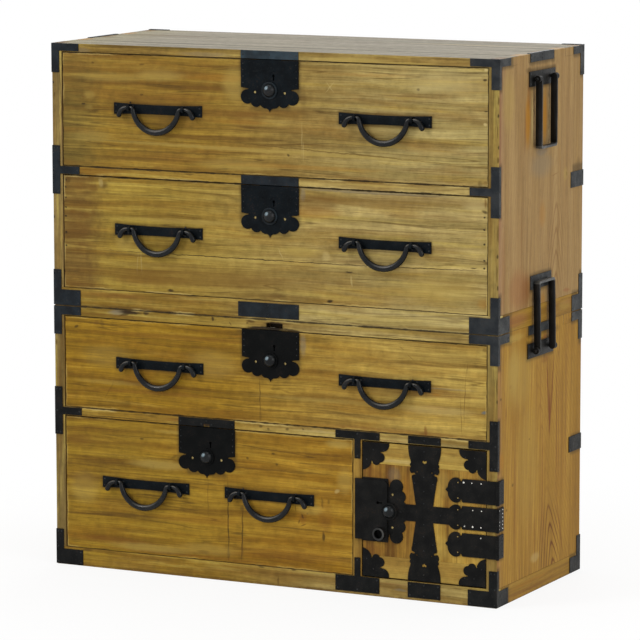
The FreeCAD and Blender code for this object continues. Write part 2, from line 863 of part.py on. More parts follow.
# The right half of the bail's line as three runs: bow, shoulder and tip.
# A run is a list of stations: x, z, direction and radius.
def bail_runs():
    reach = eye_spread - bail_straight
    sum_radii = (bail_drop ** 2 + reach ** 2) / (2 * bail_drop)
    bow_radius = sum_radii - bail_shoulder
    bow_z = bow_radius - bail_drop
    bow_turn = math.acos((bow_z + bail_shoulder) / sum_radii)
    bow = []
    for index in range(bail_stations + 1):
        share = index / bail_stations
        angle = share * bow_turn
        radius = bail_middle_radius + (bail_leg_radius - bail_middle_radius) * share ** 2
        bow.append((bow_radius * math.sin(angle), bow_z - bow_radius * math.cos(angle), angle, radius))
    shoulder = []
    for index in range(bail_bend_stations + 1):
        share = index / bail_bend_stations
        angle = bow_turn * (1 - share)
        radius = bail_leg_radius + (bail_eye_radius - bail_leg_radius) * share
        x = reach - bail_shoulder * math.sin(angle)
        z = -bail_shoulder + bail_shoulder * math.cos(angle)
        shoulder.append((x, z, angle, radius))
    tip = []
    for index in range(bail_bend_stations + 1):
        share = index / bail_bend_stations
        angle = -math.radians(bail_tip_turn) * share
        radius = bail_eye_radius + (bail_tip_radius - bail_eye_radius) * share
        x = eye_spread + bail_straight - bail_tip_bend * math.sin(angle)
        z = -bail_tip_bend + bail_tip_bend * math.cos(angle)
        tip.append((x, z, angle, radius))
    x, z, angle, radius = tip[-1]
    step_x = bail_tip_straight * math.cos(angle)
    step_z = bail_tip_straight * math.sin(angle)
    tip.append((x + step_x, z + step_z, angle, radius))
    return bow, shoulder, tip


# A round section square to the line; its seam stays on one side all along the bail
def bail_section(station, side):
    x, z, angle, radius = station
    section = Part.Wire(Part.Circle(Vector(0, 0, 0), Vector(1, 0, 0), radius).toShape())
    section.rotate(Vector(0, 0, 0), Vector(0, 1, 0), -side * math.degrees(angle))
    return moved(section, side * x, 0, z)


# The bail hangs from y = 0, z = 0; each run has one smooth skin, and a ball closes each tip
def make_bail():
    bow, shoulder, tip = bail_runs()
    sections = [bail_section(station, -1) for station in reversed(bow[1:])]
    sections += [bail_section(station, 1) for station in bow]
    body = Part.makeLoft(sections, True, False)
    tip_x, tip_z, _, tip_radius = tip[-1]
    parts = []
    for side in (-1, 1):
        for run in (shoulder, tip):
            parts.append(Part.makeLoft([bail_section(station, side) for station in run], True, False))
        inner = side * (eye_spread - bail_straight)
        outer = side * (eye_spread + bail_straight)
        parts.append(rod_x(bail_eye_radius, (inner, outer), 0, 0))
        parts.append(Part.makeSphere(tip_radius, Vector(side * tip_x, 0, tip_z)))
    return joined(body, *parts)


def drawer_place(x_range, z_range, eye_drop, spread, overlay):
    x_low = x_range[0] + drawer_side_gap
    x_high = x_range[1] - drawer_side_gap
    middle = (x_low + x_high) / 2
    z_low = z_range[0] + runner_gap
    z_high = z_range[1] - drawer_top_gap
    return {
        "x_low": x_low,
        "x_high": x_high,
        "z_low": z_low,
        "z_high": z_high,
        "lock_x": middle,
        "pulls": (middle - spread, middle + spread),
        "eye_z": z_high - eye_drop,
        "overlay": overlay,
    }


full_width = (-inner_half, inner_half)
short_width = (-inner_half, divider_left)
first_levels = (upper_rail_top, upper_ceiling)
second_levels = (upper_floor, upper_rail_bottom)
third_levels = (lower_rail_top, lower_ceiling)
fourth_levels = (base_height, lower_rail_bottom)
drawer_places = {
    1: drawer_place(full_width, first_levels, eye_drop_first, pull_spread, True),
    2: drawer_place(full_width, second_levels, eye_drop_second, pull_spread, True),
    3: drawer_place(full_width, third_levels, eye_drop_third, pull_spread, False),
    4: drawer_place(short_width, fourth_levels, eye_drop_fourth, short_pull_spread, False),
}


def make_drawer(number, place):
    name = "drawer_" + str(number)
    add(name + "_front", drawer_front(place))
    add(name + "_box", *drawer_box(place))
    x = place["lock_x"]
    z = place["z_high"]
    plate = moved(lock_plate(place["overlay"]), x, board_face, z)
    case = moved(lock_case(keyhole_drop, keyhole_shift), x, board_face, z)
    add(name + "_lock_plate", plate, case)
    add(name + "_lock_button", moved(lock_button(lock_plate_thickness), x, board_face, z))
    add(name + "_lock_bolt", moved(lock_bolt(), x, board_face, z))
    add(name + "_handle_plates", *pull_plates(place))
    bail = make_bail()
    axis = board_face - pull_plate_thickness - eye_stand
    for side, pull in zip(("left", "right"), place["pulls"]):
        add(name + "_" + side + "_bail", moved(bail, pull, axis, place["eye_z"]))


# Carrying handles
# Rounds the two lowest edges that run along X
def low_corners(shape, radius):
    edges = []
    for edge in shape.Edges:
        box = edge.BoundBox
        if box.ZMax < -carry_length / 2 and box.XLength > carry_strap_width / 2:
            edges.append(edge)
    return shape.makeFillet(radius, edges)


def carry_bail():
    half_strap = carry_strap_width / 2
    outer = carry_spread + carry_strap / 2
    inner = carry_spread - carry_strap / 2
    slab = block((-half_strap, half_strap), (-outer, outer), (-carry_length, 0))
    hollow_x = (-half_strap - overrun, half_strap + overrun)
    hollow = block(hollow_x, (-inner, inner), (-carry_length + carry_strap, overrun))
    strap = low_corners(slab, carry_corner).cut(low_corners(hollow, carry_inner_corner))
    pin_end = outer + carry_eye_gap + carry_eye_width + carry_eye_gap
    tip_radius = carry_pin_radius / 2
    parts = []
    for side in (-1, 1):
        way = Vector(0, side, 0)
        parts.append(rod_y(half_strap, 0, (side * inner, side * outer), 0))
        parts.append(rod_y(carry_pin_radius, 0, (side * outer, side * pin_end), 0))
        parts.append(Part.makeCone(carry_pin_radius, tip_radius, carry_pin_tip, way * pin_end, way))
    return joined(strap, *parts)


def carry_plates(level):
    plate_x = (half_width, half_width + carry_plate_thickness)
    plate_z = (level - carry_plate_height / 2, level + carry_plate_height / 2)
    solids = [block(plate_x, around_handle(carry_plate_length), plate_z)]
    eye_low = carry_spread + carry_strap / 2 + carry_eye_gap
    for side in (-1, 1):
        y_range = (carry_middle + side * eye_low, carry_middle + side * (eye_low + carry_eye_width))
        ring = rod_y(carry_eye_radius, carry_axis, y_range, level)
        stem_z = (level - carry_pin_radius, level + carry_pin_radius)
        stem = block((half_width + carry_plate_thickness, carry_axis), y_range, stem_z)
        hole_y = (y_range[0] - side * overrun, y_range[1] + side * overrun)
        hole = rod_y(carry_pin_radius + carry_pin_gap, carry_axis, hole_y, level)
        solids.append(joined(ring, stem).cut(hole))
    return solids


def make_carry_handles():
    hanging = moved(carry_bail(), carry_axis, carry_middle, upper_carry_level)
    add("upper_handle_plates", *both_sides(carry_plates(upper_carry_level)))
    add("upper_right_carry_handle", hanging)
    add("upper_left_carry_handle", mirrored(hanging))
    # The lower handles stand up and lean on the rest plates of the upper case
    standing = carry_bail()
    standing.rotate(Vector(0, 0, 0), Vector(0, 1, 0), 180 - carry_lean)
    standing = moved(standing, carry_axis, carry_middle, lower_carry_level)
    add("lower_handle_plates", *both_sides(carry_plates(lower_carry_level)))
    add("lower_right_carry_handle", standing)
    add("lower_left_carry_handle", mirrored(standing))


# The door: an upright-grained panel between two cross battens
def door_boards(cuts):
    x_range = (door_left, door_right)
    y_range = (board_face, board_face + door_thickness)
    levels = (door_bottom, door_bottom + door_batten_height, door_top - door_batten_height, door_top)
    boards = []
    for low, high in zip(levels, levels[1:]):
        boards.append(block(x_range, y_range, (low, high)).cut(cuts))
    return boards


# Turns a lock shape so that its lower end points right and puts its top edge on the door's left edge
def on_door(shape):
    copy = shape.copy()
    copy.rotate(Vector(0, 0, 0), Vector(0, 1, 0), -90)
    return moved(copy, door_left, board_face, door_middle)


def door_lock():
    rise = lock_plate_thickness + door_case_rise
    lip_back = -front_inset - door_lip_gap
    half = lock_lip_half
    cover = block((-half, half), (lip_back, -rise), (-door_case_length, door_lip_length))
    low_edges = []
    for edge in cover.Edges:
        box = edge.BoundBox
        if box.YLength > door_case_rise / 2 and box.ZMax < 0:
            low_edges.append(edge)
    cover = cover.makeFillet(door_case_round, low_edges)
    lip_edges = []
    for edge in cover.Edges:
        box = edge.BoundBox
        if box.XLength > half and box.ZMin > 0 and box.YMax < (lip_back - rise) / 2:
            lip_edges.append(edge)
    cover = cover.makeFillet(door_lip_round, lip_edges)
    tube = rod_y(tube_radius, -tube_shift, (-rise - tube_length, -lock_plate_thickness), -tube_drop)
    collar = rod_y(collar_radius, 0, (-rise - collar_height, 0), -button_drop)
    bore = rod_y(tube_bore, -tube_shift, (-rise - tube_length - overrun, -rise), -tube_drop)
    plate = hanging_plate(lock_outline_shares, lock_plate_width, lock_plate_height, lock_plate_thickness)
    holes = plate_holes(door_keyhole_drop, door_keyhole_shift, -rise - overrun)
    return joined(plate, cover, tube, collar).cut(holes + [bore])


# A flat plate's footprint moved to the door face; x and z are its anchor
def on_face(plate, x, z):
    return moved(plate, x, board_face, z)


def corner_plate():
    edges, last = share_edges((0, 0), corner_outline_shares, corner_plate_width, corner_plate_height)
    edges.append(Part.makeLine(last, Vector(0, 0, 0)))
    plate = plate_from(edges, band_thickness)
    hole_y = (-band_thickness - overrun, overrun)
    holes = []
    for across_share, down_share in corner_pin_shares:
        x = corner_plate_width * across_share
        holes.append(rod_y(pin_hole_radius, x, hole_y, corner_plate_height * down_share))
    return plate.cut(holes)


# A heart-shaped hole: two rings over a point, in the upright band
def heart_hole():
    y_range = (-band_thickness - overrun, overrun)
    rings = [rod_y(heart_radius, side * heart_radius, y_range, 0) for side in (-1, 1)]
    corners = [
        Vector(-2 * heart_radius, overrun, 0),
        Vector(2 * heart_radius, overrun, 0),
        Vector(0, overrun, -heart_length),
    ]
    edges = [Part.makeLine(start, end) for start, end in zip(corners, corners[1:] + corners[:1])]
    point = Part.Face(Part.Wire(edges)).extrude(Vector(0, -band_thickness - 2 * overrun, 0))
    return joined(point, *rings)


def upright_band():
    length = door_top - door_middle - cross_band_height / 2
    arm = hanging_plate(band_outline_shares, band_edge_width, length, band_thickness)
    hole_y = (-band_thickness - overrun, overrun)
    holes = [moved(heart_hole(), 0, 0, -heart_drop)]
    across_share, down_share = band_pin_shares
    for side in (-1, 1):
        x = side * band_edge_width * across_share
        holes.append(rod_y(pin_hole_radius, x, hole_y, -length * down_share))
    return arm.cut(holes)


def turned_down(plate):
    return plate.mirror(Vector(0, 0, 0), Vector(0, 0, 1))


def door_bands(straps, lock):
    arm = upright_band()
    upper = on_face(arm, band_middle, door_top)
    lower = on_face(turned_down(arm), band_middle, door_bottom)
    cross_x = (door_left + lock_plate_height * cross_band_start_share, strap_start + strap_length / 2)
    cross_y = (board_face - band_thickness, board_face)
    cross_z = (door_middle - cross_band_height / 2, door_middle + cross_band_height / 2)
    cross = block(cross_x, cross_y, cross_z).cut(straps + [lock])
    cross = max(cross.Solids, key=lambda solid: solid.Volume)
    bands = [joined(upper, lower, cross)]
    corner = corner_plate()
    for x, flip in ((door_left, 1), (door_right, -1)):
        across = corner if flip > 0 else mirrored(corner)
        bands.append(on_face(across, x, door_top))
        bands.append(on_face(turned_down(across), x, door_bottom))
    return bands


# Hinges
def strap_levels():
    lowest = strap_bottom + strap_height / 2
    return [lowest + index * strap_pitch for index in range(strap_count)]


def knuckle_ranges(level):
    pitch = strap_height / knuckle_count
    low = level - strap_height / 2
    return [(low + i * pitch, low + (i + 1) * pitch) for i in range(knuckle_count)]


def barrel(z_range, gap):
    z_low, z_high = z_range
    return rod_z(barrel_radius, hinge_x, hinge_y, (z_low + gap, z_high - gap))


def pin_hole(z_range):
    z_low, z_high = z_range
    radius = hinge_pin_radius + hinge_pin_gap
    return rod_z(radius, hinge_x, hinge_y, (z_low - overrun, z_high + overrun))


# The flat of a strap on the door, cut off at the door's edge
def strap_flat(level):
    high = strap_height / 2
    edges, last = share_edges((0, 0), strap_outline_shares, strap_length, high)
    foot = Vector(last.x, 0, 0)
    edges.append(Part.makeLine(last, foot))
    edges.append(Part.makeLine(foot, Vector(0, 0, 0)))
    half = plate_from(edges, strap_thickness)
    pin_x_share, pin_z_share = strap_pin_shares
    hole_y = (-strap_thickness - overrun, overrun)
    hole_x = strap_length * pin_x_share
    hole_z = high * pin_z_share
    holes = [rod_y(pin_hole_radius, hole_x, hole_y, side * hole_z) for side in (-1, 1)]
    flat = joined(half, turned_down(half)).cut(holes)
    keep_y = (board_face, board_face - strap_thickness)
    keep = block((strap_start, door_right), keep_y, (level - high - overrun, level + high + overrun))
    return moved(flat, strap_start, board_face, level).common(keep)


# One strap: its flat, a fold up, the part over the case's front edge and its knuckles
def door_strap(level):
    half_edge = strap_height / 2 * strap_edge_share
    z_range = (level - half_edge, level + half_edge)
    over_back = front_face - strap_over_gap
    over_y = (over_back - strap_thickness, over_back)
    fold = block((door_right - strap_fold, door_right), (board_face, over_y[0]), z_range)
    over = block((door_right - strap_fold, hinge_x), over_y, z_range)
    knuckles = knuckle_ranges(level)
    gap_x = (hinge_x - barrel_radius - knuckle_clear, hinge_x + overrun)
    gap_y = (over_y[0] - overrun, over_y[1] + overrun)
    gaps = []
    for z_low, z_high in knuckles[1::2]:
        gaps.append(block(gap_x, gap_y, (z_low - knuckle_gap / 2, z_high + knuckle_gap / 2)))
    barrels = [barrel(knuckle, knuckle_gap / 2) for knuckle in knuckles[::2]]
    strap = joined(strap_flat(level), fold, over.cut(gaps), *barrels)
    return strap.cut(pin_hole((knuckles[0][0], knuckles[-1][1])))


# The leaf on the case side, its knuckles and the pin through all of them
def hinge_leaf(level):
    high = strap_height / 2
    leaf_x = (half_width, half_width + leaf_thickness)
    leaf = block(leaf_x, (front_face, front_face + leaf_length), (level - high, level + high))
    knuckles = knuckle_ranges(level)
    parts = []
    for z_low, z_high in knuckles[1::2]:
        z_range = (z_low + knuckle_gap / 2, z_high - knuckle_gap / 2)
        parts.append(block(leaf_x, (hinge_y, front_face), z_range))
        parts.append(barrel((z_low, z_high), knuckle_gap / 2))
    pin = rod_z(hinge_pin_radius, hinge_x, hinge_y, (level - high, level + high))
    return joined(leaf, *parts, pin)


def make_door():
    straps = [door_strap(level) for level in strap_levels()]
    lock = on_door(door_lock())
    pocket = on_door(lock_pocket())
    add("door_boards", *door_boards([pocket]))
    add("door_lock_plate", lock, on_door(lock_case(door_keyhole_drop, door_keyhole_shift)))
    add("door_lock_button", on_door(lock_button(lock_plate_thickness + door_case_rise)))
    add("door_lock_bolt", on_door(lock_bolt()))
    add("door_straps", *straps)
    add("door_bands", *door_bands(straps, lock))
    add("door_hinge_leaves", *[hinge_leaf(level) for level in strap_levels()])


# Small drawers behind the door
def inner_drawer(z_range):
    x_low = divider_right + drawer_side_gap
    x_high = inner_half - inner_lining - drawer_side_gap
    z_low = z_range[0] + runner_gap
    z_high = z_range[1] - drawer_top_gap
    face = board_face + door_thickness + inner_front_gap
    inside = face + inner_front_thickness
    back = back_inside - inner_back_gap
    front = eased(block((x_low, x_high), (face, inside), (z_low, z_high)), face, 0)
    side_z = (z_low, z_high - drawer_side_drop)
    left = block((x_low, x_low + inner_board), (inside, back), side_z)
    right = block((x_high - inner_board, x_high), (inside, back), side_z)
    across = (x_low + inner_board, x_high - inner_board)
    floor = block(across, (inside, back), (z_low, z_low + inner_bottom))
    rear_z = (z_low + inner_bottom, z_high - drawer_back_drop)
    rear = block(across, (back - inner_board, back), rear_z)
    middle_x = (x_low + x_high) / 2
    middle_z = (z_low + z_high) / 2
    neck_end = face - inner_knob_length
    neck = rod_y(inner_knob_neck, middle_x, (neck_end, face), middle_z)
    head = rod_y(inner_knob_radius, middle_x, (neck_end - inner_knob_head, neck_end), middle_z)
    return [front, left, right, floor, rear, joined(neck, head)]


def make_inner_drawers():
    shelf_low = (base_height + lower_rail_bottom - shelf_thickness) / 2
    add("inner_drawer_bottom", *inner_drawer((base_height, shelf_low)))
    add("inner_drawer_top", *inner_drawer((shelf_low + shelf_thickness, lower_rail_bottom)))


make_upper_case()
make_lower_case()
make_partitions()
make_upper_irons()
make_lower_irons()
for number, place in drawer_places.items():
    make_drawer(number, place)
make_carry_handles()
make_door()
make_inner_drawers()

os.makedirs("parts", exist_ok=True)
for name, solids in nodes.items():
    shape = solids[0] if len(solids) == 1 else Part.makeCompound(list(solids))
    shape.exportStep("parts/" + name + ".step")
    print(name, len(shape.Solids), shape.isValid(), round(shape.Volume))
print(len(nodes), "nodes")
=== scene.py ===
import bmesh
import bpy
import math
import random
from functools import partial
from mathutils import Matrix, Vector


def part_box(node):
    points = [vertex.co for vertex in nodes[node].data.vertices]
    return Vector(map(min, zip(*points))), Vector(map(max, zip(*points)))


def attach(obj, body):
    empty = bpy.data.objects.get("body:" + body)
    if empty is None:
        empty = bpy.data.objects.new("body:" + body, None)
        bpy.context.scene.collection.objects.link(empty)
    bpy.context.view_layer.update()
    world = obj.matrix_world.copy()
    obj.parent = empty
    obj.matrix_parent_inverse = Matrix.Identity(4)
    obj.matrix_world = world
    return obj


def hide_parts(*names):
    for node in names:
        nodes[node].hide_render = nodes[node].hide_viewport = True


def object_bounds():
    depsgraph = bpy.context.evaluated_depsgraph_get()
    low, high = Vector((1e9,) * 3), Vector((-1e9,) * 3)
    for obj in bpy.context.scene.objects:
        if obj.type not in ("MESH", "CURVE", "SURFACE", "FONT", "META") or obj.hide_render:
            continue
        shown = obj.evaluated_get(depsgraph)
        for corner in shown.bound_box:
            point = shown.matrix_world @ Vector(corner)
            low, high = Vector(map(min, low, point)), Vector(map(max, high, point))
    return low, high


# Looks of the two-section clothing chest. Sizes are in millimetres times mm, so in metres.
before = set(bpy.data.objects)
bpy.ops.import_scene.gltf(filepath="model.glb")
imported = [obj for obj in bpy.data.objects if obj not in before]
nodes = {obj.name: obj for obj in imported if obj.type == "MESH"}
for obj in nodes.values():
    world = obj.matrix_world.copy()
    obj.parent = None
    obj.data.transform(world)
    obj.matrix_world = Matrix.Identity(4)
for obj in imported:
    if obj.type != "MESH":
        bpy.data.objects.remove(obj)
cadLow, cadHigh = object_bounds()
mm = 0.001
caseLow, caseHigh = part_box("lower_base_frame")
frontFace, backFace, halfWidth = caseLow.y, caseHigh.y, caseHigh.x
boardThick = 20 * mm
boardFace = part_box("drawer_1_front")[0].y
fingerPitch = (backFace - frontFace) / 9
plankEdges = (frontFace, frontFace + 2 * fingerPitch, frontFace + 6 * fingerPitch, backFace)


# Camera, lamps and floor
photoCamera = {
    "focalPixels": 3938.8,
    "framePixels": 640,
    "sensorWidth": 36.0,
    "place": (3.213, -6.465, 1.514),
    "yaw": 26.383,
    "pitch": 8.267,
    "roll": -0.05,
    "clipEnd": 60,
}


def makeCamera(look):
    data = bpy.data.cameras.new("photoCamera")
    data.sensor_width = look["sensorWidth"]
    data.lens = look["sensorWidth"] * look["focalPixels"] / look["framePixels"]
    data.clip_end = look["clipEnd"]
    camera = bpy.data.objects.new("photoCamera", data)
    bpy.context.scene.collection.objects.link(camera)
    turn = Matrix.Rotation(math.radians(look["yaw"]), 4, "Z")
    turn @= Matrix.Rotation(math.radians(90 - look["pitch"]), 4, "X")
    turn @= Matrix.Rotation(math.radians(look["roll"]), 4, "Z")
    camera.matrix_world = Matrix.Translation(look["place"]) @ turn
    bpy.context.scene.camera = camera


softboxes = {
    "upperLeft": {"place": (-2.6, -3.4, 3.4), "size": 1.3, "power": 78},
    "rightFill": {"place": (4.2, -1.6, 2.2), "size": 2.6, "power": 55},
    "overhead": {"place": (0.2, 0.3, 3.4), "size": 2.4, "power": 30},
    "behind": {"place": (-0.6, 4.0, 2.4), "size": 2.6, "power": 50},
}


def makeSoftboxes(boxes, target):
    for name, box in boxes.items():
        data = bpy.data.lights.new(name, "AREA")
        data.size = box["size"]
        data.energy = box["power"]
        lamp = bpy.data.objects.new(name, data)
        bpy.context.scene.collection.objects.link(lamp)
        aim = (target - Vector(box["place"])).to_track_quat("-Z", "Y")
        lamp.matrix_world = Matrix.Translation(box["place"]) @ aim.to_matrix().to_4x4()


def linear(hexColour):
    channels = [int(hexColour[i:i + 2], 16) / 255 for i in (1, 3, 5)]
    values = [c / 12.92 if c <= 0.04045 else ((c + 0.055) / 1.055) ** 2.4 for c in channels]
    return (*values, 1.0)


# Adds one shader node; a link's source is a node, a socket, a hex colour or a plain value
def addNode(tree, kind, links=None, operation=None, **settings):
    node = tree.nodes.new("ShaderNode" + kind)
    for key, value in {**settings, **({"operation": operation} if operation else {})}.items():
        setattr(node, key, value)
    for socket, source in (links or {}).items():
        if isinstance(source, bpy.types.Node):
            source = next(output for output in source.outputs if output.enabled)
        if isinstance(source, bpy.types.NodeSocket):
            tree.links.new(source, node.inputs[socket])
        else:
            node.inputs[socket].default_value = linear(source) if isinstance(source, str) else source
    return node


# Settings that many nodes share: a mix of colours, and a range that eases in and out
rgba = {"data_type": "RGBA"}
eased = {"interpolation_type": "SMOOTHSTEP"}


# Lays a tone over a colour where a value goes from start to full
def layer(add, colour, value, start, full, strength, tone, **settings):
    share = add("MapRange", {0: value, 1: start, 2: full, 4: strength}, **settings)
    return add("Mix", {0: share, 6: colour, 7: tone}, **rgba)


# Clears the nodes of a world or a material, and gives addNode for its tree
def nodeAdder(block):
    block.use_nodes = True
    block.node_tree.nodes.clear()
    return partial(addNode, block.node_tree)


# A new material with its node adder and the place on the piece
def newMaterial(name):
    material = bpy.data.materials.new(name)
    add = nodeAdder(material)
    return material, add, add("TexCoord").outputs["Object"]


# 1 where a surface is seen by the camera or in a reflection or through glass, and 0 where it only gives light
def seenShare(add):
    rays = add("LightPath").outputs
    seen = add("Math", {0: rays["Is Camera Ray"], 1: rays["Is Glossy Ray"]}, "MAXIMUM")
    return add("Math", {0: seen, 1: rays["Is Transmission Ray"]}, "MAXIMUM")


studio = {"fill": 0.55, "white": "#FFFFFF", "floorTone": "#F6F5F3", "fibreTone": "#FBFAF8", "floorSize": 9.0,
          "whiteNear": 0.86, "whiteFrom": 0.55, "whiteTo": 1.15, "fibre": 11}


def makeStudio(look):
    world = bpy.data.worlds.new("paleStudio")
    bpy.context.scene.world = world
    add = nodeAdder(world)
    light = add("Background", {"Strength": look["fill"], "Color": look["white"]})
    white = add("Background", {"Strength": 1.0, "Color": look["white"]})
    mix = add("MixShader", {0: seenShare(add), 1: light, 2: white})
    add("OutputWorld", {0: mix})

    mesh = bmesh.new()
    bmesh.ops.create_grid(mesh, x_segments=1, y_segments=1, size=look["floorSize"])
    data = bpy.data.meshes.new("studioFloor")
    mesh.to_mesh(data)
    mesh.free()
    floor = bpy.data.objects.new("studioFloor", data)
    bpy.context.scene.collection.objects.link(floor)
    data.materials.append(makePaper("white paper, rolled out", look))


# Matt paper: it takes the soft shadow under the chest and turns to even white further out
def makePaper(name, look):
    material, add, place = newMaterial(name)
    fibre = add("TexNoise", {"Vector": place, "Scale": 1 / (look["fibre"] * mm)})
    tone = add("Mix", {0: fibre, 6: look["floorTone"], 7: look["fibreTone"]}, **rgba)
    matt = add("BsdfDiffuse", {"Color": tone})
    glow = add("Emission", {"Color": look["white"], "Strength": 1.0})
    reach = add("VectorMath", {0: place}, "LENGTH")
    share = add("MapRange", {
        0: reach, 1: look["whiteFrom"], 2: look["whiteTo"], 3: look["whiteNear"]}, **eased)
    share = add("Math", {0: share, 1: seenShare(add)}, "MULTIPLY")
    mix = add("MixShader", {0: share, 1: matt, 2: glow})
    add("OutputMaterial", {0: mix})
    return material


bpy.context.scene.view_settings.view_transform = "Standard"
makeCamera(photoCamera)
makeStudio(studio)
makeSoftboxes(softboxes, (cadLow + cadHigh) / 2)
print("stage: camera, floor and lamps")


# Tones shared by the marks on the wood; the darkest one is also the dark rim along the gaps, grime and
# painted shade
markTones = {
    "crack": "#2A1C0C", "stain": "#523A14", "grey": "#7A7260", "blue": "#5A6468", "pale": "#C8B478",
    "straw": "#B39A4E", "rust": "#744218", "orange": "#A5701F", "red": "#8E5A34", "brown": "#6C4A18",
    "grime": "#1C1309", "halo": "#2B2312",
}

# Length and width of one figure of the grain, in millimetres, and how fine it breaks up.
# Pores are drawn about twice as wide as real ones, so that they show.
grainSizes = {
    "cloud": (240, 40, 3),
    "patch": (230, 13, 3),
    "band": (520, 16, 3),
    "streak": (300, 3.4, 3),
    "fine": (110, 1.4, 2),
    "fleck": (80, 1.5, 2),
    "pore": (13, 0.9, 1),
    "line": (700, 26, 2),
}

# Layers of colour over the bands: a figure, where it starts and is full, and the tone. Rubbed patches are
# straw coloured, hollows between them keep a red-brown oil, and flecks are dark open pits or pale scratches.
grainLayers = {
    "cloudStrength": ("cloud", 0.47, 0.66, "cloud"),
    "strawStrength": ("patch", 0.54, 0.70, "straw"),
    "oilStrength": ("patch", 0.46, 0.30, "oil"),
    "pitStrength": ("fleck", 0.63, 0.69, "line"),
    "scratchStrength": ("fleck", 0.36, 0.30, "straw"),
}

# How far a figure darkens and lightens the wood
grainShades = {"streak": 0.08, "fine": 0.13, "patch": 0.12}

# What a wood has unless its look says otherwise. Sizes are in millimetres, but rimBehind is a level in metres
# and swayWaves are waves per metre along, across and through the board.
plainWood = {
    "cloudStrength": 0.6, "strawStrength": 0.52, "oilStrength": 0.42, "pitStrength": 0.4,
    "scratchStrength": 0.35, "lineStrength": 0.62, "contrast": 1.0, "mottle": 0.13, "coarse": 1.0, "sway": 16,
    "swayWaves": (2.6, 6.0, 6.0), "break": 0.62, "ragged": 13, "wobble": 14, "wobbleReach": 4.5, "zones": (),
    "halos": (), "marks": (), "rubbed": 0.7, "rubbedPatch": 70, "rimWidth": 1.9, "rimStrength": 0.9,
    "rimBehind": 1.0, "rimDeep": (1.5, 0.5), "rimRagged": 4, "rubbedWidth": (4.5, 1.5),
    # crevice, grime and grimeAndShadeTone darken the wood by ambient occlusion: grime and painted shade
    "crevice": 7, "grime": 0.75, "grimeAndShadeTone": markTones["stain"], "roughness": 0.62, "relief": 0.25,
    "specular": 0.16,
}


# Growth rings cut flat: upright lines that close in nested arches round one place
def growthRings(add, look, along, across, sway, patchy):
    pitch, strength, middle, tip, spread, rise, lean = look["rings"]
    climb = add("Math", {0: along, 1: -tip * mm}, "ADD")
    aside = add("Math", {0: across, 1: -middle * mm}, "ADD")
    ring = add("Math", {0: climb, 1: lean, 2: aside}, "MULTIPLY_ADD")
    for operation, value in (("POWER", 2.0), ("ADD", (spread * mm) ** 2), ("POWER", 0.5)):
        ring = add("Math", {0: ring, 1: value}, operation)
    ring = add("Math", {0: climb, 1: rise, 2: ring}, "MULTIPLY_ADD")
    for operation, value in (("ADD", sway), ("MULTIPLY", 1 / (pitch * mm)), ("PINGPONG", 0.5)):
        ring = add("Math", {0: ring, 1: value}, operation)
    ring = add("MapRange", {0: ring, 1: 0.22, 2: 0.0, 4: strength}, **eased)
    if "arches" in look:
        # The arches at the foot of the board stand out, and the lines elsewhere are faint
        centreUp, reachUp, reachAside, faint = look["arches"]
        upward = add("Math", {0: along, 1: -centreUp * mm}, "ADD")
        upward = add("Math", {0: upward, 1: reachAside / reachUp}, "MULTIPLY")
        reach = add("CombineXYZ", {0: upward, 1: aside})
        reach = add("VectorMath", {0: reach}, "LENGTH")
        start, full = reachAside * 1.4 * mm, reachAside * 0.7 * mm
        near = add("MapRange", {0: reach, 1: start, 2: full, 3: faint}, **eased)
        for operation in ("MAXIMUM", "MULTIPLY"):
            patchy = add("Math", {0: patchy, 1: near}, operation)
    return add("Math", {0: ring, 1: patchy}, "MULTIPLY")


